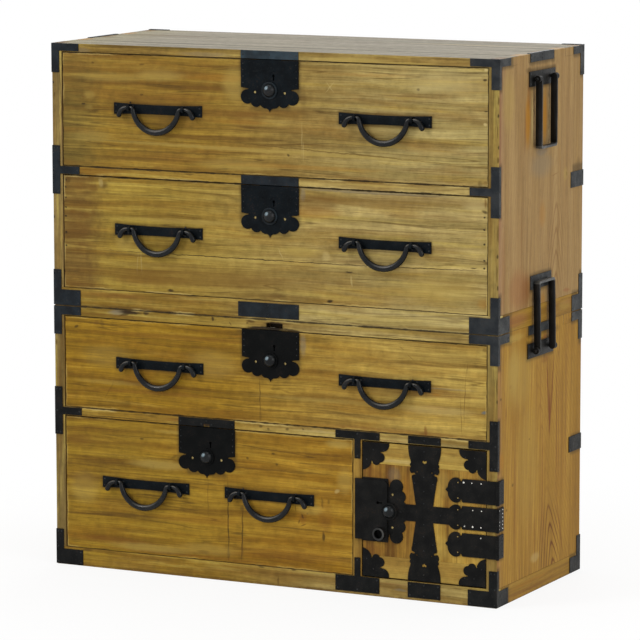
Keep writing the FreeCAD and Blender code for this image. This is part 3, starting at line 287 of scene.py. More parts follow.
# The grain of a board: bands between two tones with layers of others, thin lines, rings and fine shading
def grainColour(add, look, axes, ragged):
    along, across, depth = (axes[letter] for letter in look["grain"])
    board = add("CombineXYZ", {0: along, 1: across, 2: depth})
    board = add("VectorMath", {0: board, 1: (look["seed"] * 1.7, look["seed"], 0.4)}, "ADD")
    # The grain drifts sideways by a few millimetres on its way
    sway = add("VectorMath", {0: board, 1: look["swayWaves"]}, "MULTIPLY")
    sway = add("TexNoise", {"Vector": sway, "Scale": 1.0, "Detail": 2.0})
    sway = add("Math", {0: sway, 1: look["sway"] * mm}, "MULTIPLY")
    swayed = add("CombineXYZ", {1: sway})
    swayed = add("VectorMath", {0: board, 1: swayed}, "ADD")
    grain = {}
    for key, (length, width, detail) in grainSizes.items():
        size = [1 / (length * mm)] + [1 / (width * look["coarse"] * mm)] * 2
        scaled = add("VectorMath", {0: swayed, 1: size}, "MULTIPLY")
        grain[key] = add("TexNoise", {
            "Vector": scaled, "Scale": 1.0, "Detail": float(detail), "Roughness": look["break"]})

    band = add("MapRange", {0: grain["band"], 1: 0.34, 2: 0.66}, **eased)
    colour = add("Mix", {0: band, 6: look["dark"], 7: look["light"]}, **rgba)
    # A zone of the board has two tones of its own, past a ragged line along one axis
    for axis, start, end, rough, dark, light in look["zones"]:
        tone = add("Mix", {0: band, 6: dark, 7: light}, **rgba)
        reach = add("Math", {0: ragged, 1: rough * mm, 2: axes[axis]}, "MULTIPLY_ADD")
        start, end = (start + rough / 2) * mm, (end + rough / 2) * mm
        colour = layer(add, colour, reach, start, end, 1.0, tone, **eased)
    for key, (figure, start, full, tone) in grainLayers.items():
        colour = layer(add, colour, grain[figure], start, full, look[key], look[tone])

    # Thin dark lines wander along the grain and fade in and out
    line = add("Math", {0: grain["line"], 1: 0.5}, "SUBTRACT")
    line = add("Math", {0: line}, "ABSOLUTE")
    line = add("MapRange", {0: line, 1: 0.014, 2: 0.001, 4: look["lineStrength"]}, **eased)
    faded = add("MapRange", {0: grain["cloud"], 1: 0.62, 2: 0.42})
    line = add("Math", {0: line, 1: faded}, "MULTIPLY")
    colour = add("Mix", {0: line, 6: colour, 7: look["line"]}, **rgba)
    if "rings" in look:
        patchy = add("MapRange", {0: grain["band"], 1: 0.38, 2: 0.60, 3: 0.15})
        ring = growthRings(add, look, along, across, sway, patchy)
        colour = add("Mix", {0: ring, 6: colour, 7: look["ring"]}, **rgba)

    shade = add("MapRange", {0: grain["pore"], 1: 0.60, 2: 0.72, 3: 1.0, 4: 0.76})
    swings = [(grain[figure], swing * look["contrast"]) for figure, swing in grainShades.items()]
    for figure, swing in swings + [(ragged, look["mottle"])]:
        tint = add("MapRange", {0: figure, 1: 0.3, 2: 0.7, 3: 1 - swing, 4: 1 + swing})
        shade = add("Math", {0: shade, 1: tint}, "MULTIPLY")
    return grain, add("VectorMath", {0: colour, "Scale": shade}, "SCALE")


# What has happened to the face of a board, over its grain; dents are 1 at the bottom of a crack
def markedColour(add, look, axes, colour):
    face = add("CombineXYZ", {0: axes[look["face"][0]], 1: axes[look["face"][1]]})
    wobble = add("TexNoise", {"Vector": face, "Scale": 1 / (look["wobble"] * mm), "Detail": 3.0})
    wobble = add("VectorMath", {0: wobble.outputs["Color"], 1: (0.5, 0.5, 0.5)}, "SUBTRACT")
    wobble = add("VectorMath", {0: wobble, "Scale": look["wobbleReach"] * mm}, "SCALE")
    place = add("VectorMath", {0: face, 1: wobble}, "ADD")
    # Dark halo of lacquer and rust that has crept out from under each iron
    for u, v, halfLong, halfHigh, reach, strength in look["halos"]:
        apart = add("VectorMath", {0: place, 1: (u * mm, v * mm, 0)}, "SUBTRACT")
        apart = add("VectorMath", {0: apart}, "ABSOLUTE")
        apart = add("VectorMath", {0: apart, 1: (halfLong * mm, halfHigh * mm, 0)}, "SUBTRACT")
        apart = add("VectorMath", {0: apart, 1: (0, 0, 0)}, "MAXIMUM")
        apart = add("VectorMath", {0: apart}, "LENGTH")
        colour = layer(add, colour, apart, reach * mm, 0.0, strength, markTones["halo"], **eased)
    # Marks: each is a soft ragged ellipse
    dents = 0.0
    for u, v, halfLong, halfHigh, tone, strength, *turn in look["marks"]:
        centred = add("Mapping", {
            "Vector": place, "Location": (u * mm, v * mm, 0), "Scale": (halfLong * mm, halfHigh * mm, 1),
            "Rotation": (0, 0, math.radians(sum(turn)))}, vector_type="TEXTURE")
        radius = add("VectorMath", {0: centred}, "LENGTH")
        mask = add("MapRange", {0: radius, 1: 1.2, 2: 0.4, 4: strength}, **eased)
        colour = add("Mix", {0: mask, 6: colour, 7: markTones[tone]}, **rgba)
        if tone == "crack":
            dents = add("Math", {0: dents, 1: mask}, "MAXIMUM")
    return colour, dents


# Edges: rubbed pale in places, and dark at the very rim with grime and painted shade of the gap beside the
# board
def rimmedColour(add, look, place, axes, ragged, colour):
    nearest = 1.0
    for letter, value, sign in look["rim"]:
        gap = add("Math", {0: axes[letter], 1: float(sign), 2: -sign * value}, "MULTIPLY_ADD")
        nearest = add("Math", {0: nearest, 1: gap}, "MINIMUM")
    shift = look["rimRagged"] * mm
    shift = add("Math", {0: ragged, 1: -shift, 2: shift / 2}, "MULTIPLY_ADD")
    nearest = add("Math", {0: nearest, 1: shift}, "ADD")
    # Only the front is rubbed and darkened with grime and painted shade, not the edges that show when a
    # drawer is open
    start, full = (look["rimBehind"] + deep * mm for deep in look["rimDeep"])
    shown = add("MapRange", {0: axes["y"], 1: start, 2: full})
    patch = add("TexNoise", {"Vector": place, "Scale": 1 / (look["rubbedPatch"] * mm), "Detail": 2.0})
    patch = add("MapRange", {0: patch, 1: 0.5, 2: 0.62})
    patch = add("Math", {0: patch, 1: shown}, "MULTIPLY")
    width = look["rimWidth"]
    for start, full, strength, share, tone in (
            (*look["rubbedWidth"], look["rubbed"], patch, look["edge"]),
            (width, width * 0.05, look["rimStrength"], shown, markTones["grime"])):
        rim = add("MapRange", {0: nearest, 1: start * mm, 2: full * mm, 4: strength}, **eased)
        rim = add("Math", {0: rim, 1: share}, "MULTIPLY")
        colour = add("Mix", {0: rim, 6: colour, 7: tone}, **rgba)
    return colour


# Oiled paulownia: soft straight grain in pale and brown bands, thin dark growth lines and short pores
def makeWood(name, look):
    look = {**plainWood, "straw": look["light"], "oil": look["cloud"], **look}
    material, add, place = newMaterial(name)
    axes = dict(zip("xyz", add("SeparateXYZ", {0: place}).outputs))
    ragged = add("TexNoise", {"Vector": place, "Scale": 1 / (look["ragged"] * mm), "Detail": 4.0})
    grain, colour = grainColour(add, look, axes, ragged)
    colour, dents = markedColour(add, look, axes, colour)
    if "rim" in look:
        colour = rimmedColour(add, look, place, axes, ragged, colour)

    # Grime and painted shade: the wood is darker where ambient occlusion finds an iron or another board close
    # by
    occlusionShade = add("AmbientOcclusion", {"Distance": look["crevice"] * mm}, samples=6)
    occlusionShade = add("Math", {0: occlusionShade.outputs["AO"], 1: ragged}, "ADD")
    colour = layer(add, colour, occlusionShade, 1.35, 0.85, look["grime"], look["grimeAndShadeTone"], **eased)

    rough = add("MapRange", {0: grain["streak"], 3: look["roughness"] - 0.1, 4: look["roughness"] + 0.1})
    height = add("Math", {0: grain["streak"], 1: grain["fine"]}, "ADD")
    height = add("Math", {0: dents, 1: -3.0, 2: height}, "MULTIPLY_ADD")
    bump = add("Bump", {"Height": height, "Strength": 0.5, "Distance": look["relief"] * mm})
    shader = add("BsdfPrincipled", {
        "Base Color": colour, "Roughness": rough, "Normal": bump, "Specular IOR Level": look["specular"]})
    add("OutputMaterial", {0: shader})
    return material


# What a black iron has unless its own look says otherwise; sizes are in millimetres
plainIron = {
    "rust": 0.3, "rustTone": "#2E2018", "dust": 0.25, "dustTone": "#3A3A36", "metallic": 0.0,
    "roughness": 0.5, "dimple": 0.3, "specular": 0.18, "blotch": 24, "speck": 2.6, "hammer": 10, "ends": (),
}


# Iron sheet, burnt black with lacquer: blue-black and a little blotchy, with pits, and rust here and there
def makeBlackIron(name, look):
    look = {**plainIron, **look}
    material, add, place = newMaterial(name)
    blotch, speck, hammer = (
        add("TexNoise", {"Vector": place, "Scale": 1 / (look[size] * mm), "Detail": detail})
        for size, detail in (("blotch", 4.0), ("speck", 3.0), ("hammer", 2.0)))
    tone = add("MapRange", {0: blotch, 1: 0.36, 2: 0.66}, **eased)
    colour = add("Mix", {0: tone, 6: look["dark"], 7: look["light"]}, **rgba)
    if "crown" in look:
        # Painted highlight: a pale tone on the faces that turn toward the given direction
        toward, start, full, highlightTone, strength = look["crown"]
        normal = add("TexCoord").outputs["Normal"]
        facing = add("VectorMath", {0: normal, 1: Vector(toward).normalized()}, "DOT_PRODUCT")
        colour = layer(add, colour, facing, start, full, strength, highlightTone, **eased)
    # Painted light: paler towards the right end of the front, and greyer on the faces past the corner
    for start, full, blend, dark, light in look["ends"]:
        paintedLightTone = add("Mix", {0: tone, 6: dark, 7: light}, **rgba)
        across = add("SeparateXYZ", {0: place}).outputs["X"]
        colour = layer(add, colour, across, start * mm, full * mm, 1.0, paintedLightTone, interpolation_type=blend)
    colour = layer(add, colour, speck, 0.60, 0.72, look["dust"], look["dustTone"])
    rust = add("Math", {0: blotch, 1: speck}, "MULTIPLY")
    colour = layer(add, colour, rust, 0.31, 0.41, look["rust"], look["rustTone"], **eased)
    rough = look["roughness"]
    rough = add("MapRange", {0: speck, 1: 0.3, 2: 0.7, 3: rough - 0.08, 4: rough + 0.12})
    height = add("Math", {0: hammer, 1: 4.0, 2: speck}, "MULTIPLY_ADD")
    bump = add("Bump", {"Height": height, "Strength": 0.45, "Distance": look["dimple"] * mm})
    shader = add("BsdfPrincipled", {
        "Base Color": colour, "Roughness": rough, "Normal": bump, "Metallic": look["metallic"],
        "Specular IOR Level": look["specular"]})
    add("OutputMaterial", {0: shader})
    return material


# Bright iron where the black has been rubbed off a nail's head
def makeRubbedIron(name, look):
    material, add, place = newMaterial(name)
    grain = add("TexNoise", {"Vector": place, "Scale": 1 / (look["grain"] * mm), "Detail": 2.0})
    colour = add("Mix", {0: grain, 6: look["dark"], 7: look["light"]}, **rgba)
    shader = add("BsdfPrincipled", {
        "Base Color": colour, "Roughness": look["roughness"], "Metallic": look["metallic"]})
    add("OutputMaterial", {0: shader})
    return material


# The edges of a node's box along some axes: each is its axis, its place and which way its inside is
def faceRim(node, face):
    low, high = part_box(node)
    ends = [("xyz".index(letter), letter) for letter in face]
    return [edge for i, letter in ends for edge in ((letter, low[i], 1), (letter, high[i], -1))]


# Drawer fronts. A zone is: axis, start, end, raggedness and its two tones. A mark is: centre u, centre v,
# half length, half height, tone, strength and, unless it is level, its turn in degrees.
# The zones make each front paler toward the right and darker at the left end: partly a real change of tone,
# partly painted light
drawerLooks = {
    1: {"dark": "#75561A", "light": "#947527", "line": "#4C3712", "cloud": "#825E22", "straw": "#A48A3C",
        "oil": "#734F19", "edge": "#B79C58", "seed": 1.3,
        "zones": [("x", -160, 330, 60, "#927F48", "#B3A065"), ("x", -320, -400, 30, "#5E4C1C", "#7A6429")],
        "marks": [
            (-385, 867, 5, 2, "crack", 0.8, 10), (-383, 880, 7, 2, "brown", 0.7, -8),
            (-372, 884, 14, 9, "straw", 0.26), (-374, 861, 10, 5, "straw", 0.2),
            (-365, 943, 4, 2, "stain", 0.7), (-262, 943, 6, 2, "stain", 0.6, 8),
            (-263, 888, 5, 2, "stain", 0.8, 5), (-130, 905, 60, 3.5, "brown", 0.5),
            (-180, 874, 190, 3, "brown", 0.4), (10, 796, 440, 4.5, "straw", 0.45, -0.8),
            (120, 800, 300, 1.2, "stain", 0.6, -2.6), (-220, 785, 230, 2, "stain", 0.5, 0.3),
            (170, 872, 120, 2, "stain", 0.4, 0.6), (240, 824, 190, 1.8, "stain", 0.4, 0.2),
            (350, 925, 90, 16, "pale", 0.25), (293, 918, 4, 3, "crack", 0.8), (300, 918, 20, 8, "pale", 0.25),
            (120, 916, 1.1, 15, "pale", 0.32, -40), (120, 916, 1.1, 14, "pale", 0.28, 38),
            (66, 892, 10, 14, "stain", 0.45), (64, 820, 1.3, 34, "pale", 0.25),
            (67, 800, 1, 22, "pale", 0.25), (424, 957, 4, 3, "pale", 0.8), (423, 862, 4, 3, "pale", 0.7),
            (422, 940, 5, 2.5, "crack", 0.8), (424, 885, 4, 1.5, "crack", 0.7),
            (414, 757, 6, 5, "stain", 0.5), (423, 758, 5, 5, "brown", 0.5), (-230, 756, 12, 4, "brown", 0.5),
            (60, 770, 190, 5, "orange", 0.28, 0.3), (-300, 770, 120, 5, "stain", 0.3, 0.2),
            (-250, 845, 150, 7, "stain", 0.22), (-60, 846, 70, 5, "orange", 0.25),
            (37, 791, 3, 2.5, "crack", 0.7), (270, 902, 50, 3, "straw", 0.4),
            (200, 940, 90, 4, "orange", 0.25, 0.4), (-330, 918, 90, 10, "straw", 0.3),
            (-80, 925, 90, 8, "orange", 0.3), (-160, 888, 70, 9, "rust", 0.22),
            (-225, 925, 55, 13, "straw", 0.45), (-72, 915, 28, 34, "straw", 0.4),
            (-70, 768, 90, 12, "straw", 0.35), (235, 868, 50, 15, "brown", 0.4),
            (350, 935, 60, 22, "pale", 0.22), (110, 945, 60, 8, "brown", 0.3),
            (-45, 850, 40, 20, "rust", 0.18), (-370, 808, 50, 12, "straw", 0.28),
            (-230, 935, 120, 9, "brown", 0.3)]},
    2: {"dark": "#836823", "light": "#A58B39", "line": "#513B14", "cloud": "#87641E", "straw": "#AE9748",
        "oil": "#6E4A1B", "edge": "#C0A763", "seed": 4.1,
        "zones": [("x", -250, 260, 60, "#937F48", "#B59F63"), ("x", -320, -390, 40, "#64491A", "#80642C")],
        "marks": [
            (-60, 598.5, 370, 0.9, "crack", 0.9, 0.1), (290, 601, 145, 0.9, "crack", 0.85, 1.2),
            (-60, 594, 300, 2.6, "straw", 0.45, 0.1), (-345, 719, 10, 9, "stain", 0.5),
            (-350, 722, 5, 9, "pale", 0.28, 15), (-366, 712, 12, 8, "brown", 0.5),
            (-410, 667, 8, 5, "brown", 0.45), (-380, 661, 9, 6, "brown", 0.45),
            (-366, 668, 6, 5, "brown", 0.4), (-266, 580, 1.4, 26, "pale", 0.3, 4),
            (-274, 578, 1.2, 24, "pale", 0.25, -3), (-205, 531, 7, 3, "crack", 0.9),
            (120, 531, 7, 3, "crack", 0.9, 8), (-220, 577, 130, 5, "stain", 0.32),
            (-280, 592, 110, 2.5, "stain", 0.4), (200, 714, 150, 9, "brown", 0.4, -0.3),
            (90, 690, 60, 12, "orange", 0.35), (210, 731, 170, 3, "grey", 0.5),
            (404, 717, 27, 11, "pale", 0.5, -4), (424, 708, 8, 3, "crack", 0.7, -10),
            (424, 724, 3, 10, "brown", 0.6), (158, 586, 9, 1.6, "crack", 0.8, 3),
            (163, 570, 2, 12, "pale", 0.35, 8), (21, 610, 1.1, 14, "pale", 0.35, 28),
            (112, 612, 9, 10, "pale", 0.3), (402, 608, 7, 1.2, "crack", 0.8),
            (250, 664, 150, 2, "stain", 0.4, 0.4), (-150, 558, 210, 20, "brown", 0.32),
            (-90, 686, 7, 14, "stain", 0.25), (10, 535, 20, 5, "stain", 0.4),
            (-150, 660, 190, 5, "straw", 0.35), (310, 560, 130, 14, "straw", 0.3),
            (-395, 716, 18, 10, "brown", 0.35), (-421, 725, 8, 8, "stain", 0.6),
            (66, 721, 6, 14, "grey", 0.5), (-300, 612, 22, 14, "straw", 0.35),
            (420, 545, 12, 10, "orange", 0.3), (-64, 735, 60, 3, "pale", 0.35),
            (-310, 560, 110, 5, "brown", 0.35), (390, 570, 60, 5, "brown", 0.25),
            (92, 706, 48, 20, "brown", 0.5), (-250, 546, 95, 12, "brown", 0.45),
            (300, 722, 140, 10, "brown", 0.4), (60, 617, 42, 12, "straw", 0.45),
            (350, 565, 85, 34, "straw", 0.32), (340, 636, 50, 9, "brown", 0.3),
            (-400, 640, 26, 60, "brown", 0.3), (-230, 636, 160, 6, "orange", 0.25),
            (-100, 560, 200, 12, "brown", 0.22), (-120, 560, 260, 34, "brown", 0.25)],
        # Old nail holes: heights down the left end, then down the right end
        "nailHoles": [(-424.5, (725, 712, 692, 674, 657, 627, 603)), (422.5, (698, 676, 650, 622, 608))]},
    3: {"dark": "#78580D", "light": "#99751A", "line": "#553C0E", "cloud": "#845C14", "straw": "#B08E35",
        "oil": "#6C440E", "edge": "#BB9C50", "seed": 7.6,
        "zones": [("x", -140, 300, 60, "#997D39", "#BC9F4F")],
        "marks": [
            (-4, 470, 44, 2.6, "grime", 0.9), (-22, 348, 1.2, 40, "stain", 0.75),
            (-21, 312, 3, 12, "stain", 0.35), (310, 309, 4, 11, "rust", 0.6, 5),
            (305, 303, 9, 5, "stain", 0.4), (386, 372, 1, 48, "stain", 0.55, -2),
            (379, 338, 0.9, 40, "stain", 0.5, 3), (425, 351, 8, 3, "blue", 0.75, 8),
            (-405, 452, 5, 3, "crack", 0.7, 10), (-362, 462, 7, 5, "brown", 0.5),
            (-350, 461, 4, 8, "stain", 0.35, 20), (-338, 334, 1.2, 18, "stain", 0.35, -30),
            (-330, 345, 1.2, 14, "stain", 0.3, -20), (-200, 445, 190, 6, "rust", 0.25, 0.2),
            (-230, 414, 150, 5, "stain", 0.25), (-250, 338, 150, 4, "rust", 0.28, 0.2),
            (60, 326, 150, 2.2, "stain", 0.45, 1.8), (160, 329, 90, 2, "stain", 0.4, -2),
            (0, 385, 170, 2.5, "brown", 0.4, 0.2), (420, 455, 10, 10, "straw", 0.5),
            (424, 463, 6, 4, "stain", 0.4), (66, 448, 7, 22, "grey", 0.45), (350, 388, 60, 2, "grey", 0.35),
            (330, 445, 90, 10, "straw", 0.3), (280, 440, 8, 1.2, "stain", 0.35, -35),
            (-330, 352, 90, 5, "straw", 0.25), (262, 455, 8, 0.9, "stain", 0.4, -35),
            (-20, 455, 90, 3, "orange", 0.3), (255, 372, 60, 12, "brown", 0.3),
            (330, 377, 10, 3, "orange", 0.4), (-60, 318, 40, 1.2, "stain", 0.35),
            (390, 426, 1, 12, "stain", 0.45, -6), (330, 352, 30, 4, "orange", 0.25),
            (-64, 466, 8, 4, "stain", 0.4), (240, 303, 200, 7, "rust", 0.42), (340, 378, 80, 9, "rust", 0.25),
            (-120, 400, 60, 30, "straw", 0.28), (330, 348, 80, 9, "pale", 0.25),
            (-270, 365, 40, 22, "rust", 0.16), (-340, 400, 60, 24, "straw", 0.2),
            (150, 350, 200, 5, "straw", 0.3)]},
    4: {"dark": "#795A16", "light": "#9A7A20", "line": "#523A10", "cloud": "#82590F", "straw": "#AC8C30",
        "oil": "#6C440E", "edge": "#B89B50", "seed": 9.2,
        "zones": [("x", -260, 140, 60, "#8A6414", "#AC8429")],
        "marks": [
            (-88, 116, 1.5, 82, "crack", 0.75, 0.6), (-59, 92, 1.5, 58, "crack", 0.7, -1.5),
            (-60, 138, 5, 6, "stain", 0.5), (-130, 150, 1.2, 42, "stain", 0.4),
            (-88, 50, 3.5, 12, "stain", 0.5), (-59, 60, 3, 16, "stain", 0.4),
            (107, 100, 3.5, 10, "crack", 0.75, 4), (110, 138, 16, 36, "rust", 0.28),
            (104, 162, 2.5, 12, "stain", 0.5, 6), (117, 165, 3, 5, "stain", 0.5),
            (65, 128, 8, 12, "rust", 0.35), (64, 134, 2, 6, "crack", 0.6, 20),
            (66, 118, 7, 1.4, "crack", 0.6, 15), (57, 124, 2, 4, "crack", 0.5, -30),
            (74, 139, 2.5, 2, "crack", 0.5), (60, 110, 70, 1.6, "stain", 0.5),
            (-300, 105, 90, 4, "stain", 0.5), (-330, 55, 90, 7, "rust", 0.32),
            (-190, 40, 260, 3.5, "rust", 0.3), (-330, 200, 120, 3.5, "stain", 0.35, 1.2),
            (-270, 216, 150, 2, "stain", 0.35), (-200, 222, 10, 3, "stain", 0.4, 35),
            (-268, 251, 5, 2, "crack", 0.6), (-48, 232, 4, 3, "crack", 0.6),
            (0, 214, 160, 2, "stain", 0.5, 0.3), (60, 250, 120, 1.6, "stain", 0.45, -0.4),
            (110, 187, 60, 2, "stain", 0.4), (5, 244, 4, 2.5, "crack", 0.6), (12, 225, 3, 2.5, "crack", 0.55),
            (134, 186, 6, 4, "pale", 0.4, 30), (30, 60, 130, 14, "rust", 0.25),
            (50, 148, 1.3, 6, "crack", 0.5), (-390, 150, 34, 32, "straw", 0.4),
            (-130, 55, 70, 12, "straw", 0.3), (-190, 268, 60, 4, "straw", 0.3),
            (130, 228, 40, 6, "brown", 0.35), (-230, 205, 70, 10, "straw", 0.5),
            (-250, 47, 95, 9, "straw", 0.45), (-390, 165, 36, 20, "brown", 0.4),
            (138, 272, 30, 9, "straw", 0.5), (150, 205, 18, 26, "straw", 0.35),
            (80, 148, 30, 12, "straw", 0.35), (30, 34, 140, 4, "rust", 0.4), (-140, 50, 14, 4, "stain", 0.35),
            (-280, 76, 60, 4, "stain", 0.3), (-320, 120, 80, 14, "brown", 0.25),
            (-160, 110, 120, 10, "orange", 0.22), (-400, 240, 30, 14, "brown", 0.4)]},
}
# Halos of the two parts of a lock plate: half width, then depth and half height as shares of the plate's
# height, and strength. A pull's halo is its half sizes and strength. Sight holes lie aside and down in the
# plate.
drawerHalos = {"reach": 9, "lock": ((57, 0.35, 0.35, 0.5), (36, 0.8, 0.12, 0.4)), "pull": (90, 9, 0.32),
               "sight": (30, 59)}
for number, look in drawerLooks.items():
    look.update({"grain": "xzy", "face": "xz", "rim": faceRim(f"drawer_{number}_front", "xz"),
                 "rimBehind": boardFace, "rimWidth": 2.3})
    low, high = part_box(f"drawer_{number}_lock_plate")
    middle, height, top = (low.x + high.x) / 2 / mm, (high.z - low.z) / mm, high.z / mm
    reach = drawerHalos["reach"]
    look["halos"] = [(middle, top - height * down, halfWide, height * share, reach, strength)
                     for halfWide, down, share, strength in drawerHalos["lock"]]
    halfLong, halfHigh, strength = drawerHalos["pull"]
    low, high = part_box(f"drawer_{number}_handle_plates")
    level = (low.z + high.z) / 2 / mm
    look["halos"] += [(end, level, halfLong, halfHigh, reach, strength)
                      for end in (low.x / mm + halfLong, high.x / mm - halfLong)]
    # Bare wood shows in the two sight holes of the plate
    aside, down = drawerHalos["sight"]
    look["marks"] += [(middle + side * aside, top - down, 5, 5, "pale", 0.9) for side in (-1, 1)]
    holes = [(u, v) for u, heights in look.get("nailHoles", ()) for v in heights]
    look["marks"] += [(u, v, 2.6, 2.2, "grime", 0.9) for u, v in holes]

# Rail zones, and the upper base rail's own, are paler toward the right: partly a real change of tone, partly
# painted light
railTones = {
    "grain": "xzy", "face": "xz", "dark": "#7A5E1C", "light": "#9B8135", "line": "#4C3712",
    "cloud": "#84642A", "straw": "#B5A050", "oil": "#6A4817", "edge": "#C2AB68",
    "rubbed": 0.85, "rimBehind": frontFace,
    "zones": [("x", -150, 150, 60, "#8C7438", "#B09A5C")],
}
boardLooks = {
    "upperMiddleRail": {
        **railTones, "dark": "#81611A", "light": "#A38533", "seed": 2.2,
        "rim": faceRim("upper_rail_shelf", "xz"),
        "marks": [
            (-240, 750, 190, 1.2, "crack", 0.6), (-180, 736, 70, 1.6, "pale", 0.4),
            (-165, 747, 12, 2, "stain", 0.6), (310, 736, 22, 1.6, "crack", 0.8),
            (270, 735, 60, 2, "pale", 0.6), (-360, 743, 60, 8, "rust", 0.3), (130, 736, 70, 1.8, "pale", 0.5),
            (200, 744, 130, 2, "straw", 0.4), (-395, 737, 12, 3, "stain", 0.6, 10)]},
    "lowerMiddleRail": {
        **railTones, "dark": "#806019", "light": "#A3812C", "grimeAndShadeTone": "#6E4E22", "seed": 3.7,
        "rim": faceRim("lower_rail_shelf", "z")[1:],
        "marks": [
            (-320, 287, 100, 1.2, "crack", 0.6), (-20, 293, 4, 3, "crack", 0.6),
            (34, 292, 4, 3, "crack", 0.6), (-200, 292, 22, 4, "rust", 0.3), (240, 287, 40, 2, "rust", 0.4),
            (100, 292, 60, 3, "pale", 0.3), (-4, 290, 3, 3, "crack", 0.5), (66, 294, 3, 2, "crack", 0.5),
            (-131.5, 290, 16, 9, "grime", 1)]},
    "upperBaseRail": {
        **railTones, "dark": "#6D4F13", "light": "#8E7227", "seed": 5.9, "rimWidth": 3.0,
        "rim": faceRim("upper_base_frame", "z")[:1],
        "zones": [("x", -150, 150, 60, "#9A864A", "#BEAB70")],
        "marks": [
            (-43, 528, 3, 3, "pale", 0.8), (-160, 523, 14, 2, "crack", 0.6), (-330, 515, 80, 5, "rust", 0.3),
            (-100, 500, 90, 3, "stain", 0.3), (230, 507, 130, 6, "straw", 0.4),
            (350, 508, 90, 12, "pale", 0.28), (140, 493, 120, 2.5, "stain", 0.4),
            (-300, 494, 100, 2.5, "stain", 0.5), (330, 520, 60, 2.5, "straw", 0.4)]},
    "lowerBaseRail": {
        **railTones, "dark": "#816016", "light": "#A38427", "grimeAndShadeTone": "#6E4E22", "seed": 8.4,
        "marks": [
            (15, 10, 2.5, 8, "stain", 0.6), (46, 33, 6, 2.5, "crack", 0.7), (-20, 33, 8, 1.8, "crack", 0.6),
            (-150, 3, 290, 3, "stain", 0.5), (95, 2, 50, 3, "stain", 0.6), (-300, 22, 60, 3, "brown", 0.4),
            (-385, 31, 12, 3, "stain", 0.6), (250, 26, 40, 3, "rust", 0.3), (262, 16, 14, 3, "grey", 0.5)]},
    "lowerRoofPlank": {
        **railTones, "seed": 6.8, "rim": faceRim("lower_top_board", "z")[1:], "rimWidth": 3.0,
        "marks": [
            (8, 477, 20, 8, "grime", 1), (8, 484, 22, 3.4, "crack", 0.95, 2),
            (-4, 474, 46, 4.4, "grime", 0.95), (46, 473, 24, 2.8, "crack", 0.9, -3),
            (-30, 474, 20, 3, "crack", 0.85, 4), (38, 486, 16, 2.6, "stain", 0.7, 6),
            (-316, 484, 22, 6, "grey", 0.7, 3), (-290, 485.5, 26, 4.6, "crack", 0.95),
            (-303, 480, 14, 3, "crack", 0.7, 12), (-256, 486, 7, 4.5, "crack", 0.85),
            (-40, 485, 10, 3, "stain", 0.8), (-118, 485, 3, 5, "crack", 0.8),
            (-82, 478, 1.4, 5, "stain", 0.6, 35), (-46, 481, 3, 1.6, "stain", 0.7, 10),
            (-335, 478, 90, 2, "brown", 0.5), (140, 486, 120, 2.5, "straw", 0.4),
            (-145, 488, 6, 1.5, "stain", 0.6), (120, 476, 60, 2, "stain", 0.4, 0.5),
            (350, 472, 90, 1.5, "crack", 0.5)]},
}
print("stage: wood tones")

# Side boards: upright grain, redder in a strip along the front arris
frontMm = frontFace / mm
sideTones = {
    "grain": "zyx", "face": "yz", "dark": "#8F7143", "light": "#A38555", "line": "#7A5630",
    "cloud": "#96764A", "straw": "#AC8C58", "oil": "#865F36", "ring": "#7E5A30", "roughness": 0.6,
    "specular": 0.12, "contrast": 0.5, "lineStrength": 0.4, "coarse": 1.1, "strawStrength": 0.3,
    "oilStrength": 0.22, "pitStrength": 0.15, "mottle": 0.03, "cloudStrength": 0.4,
}
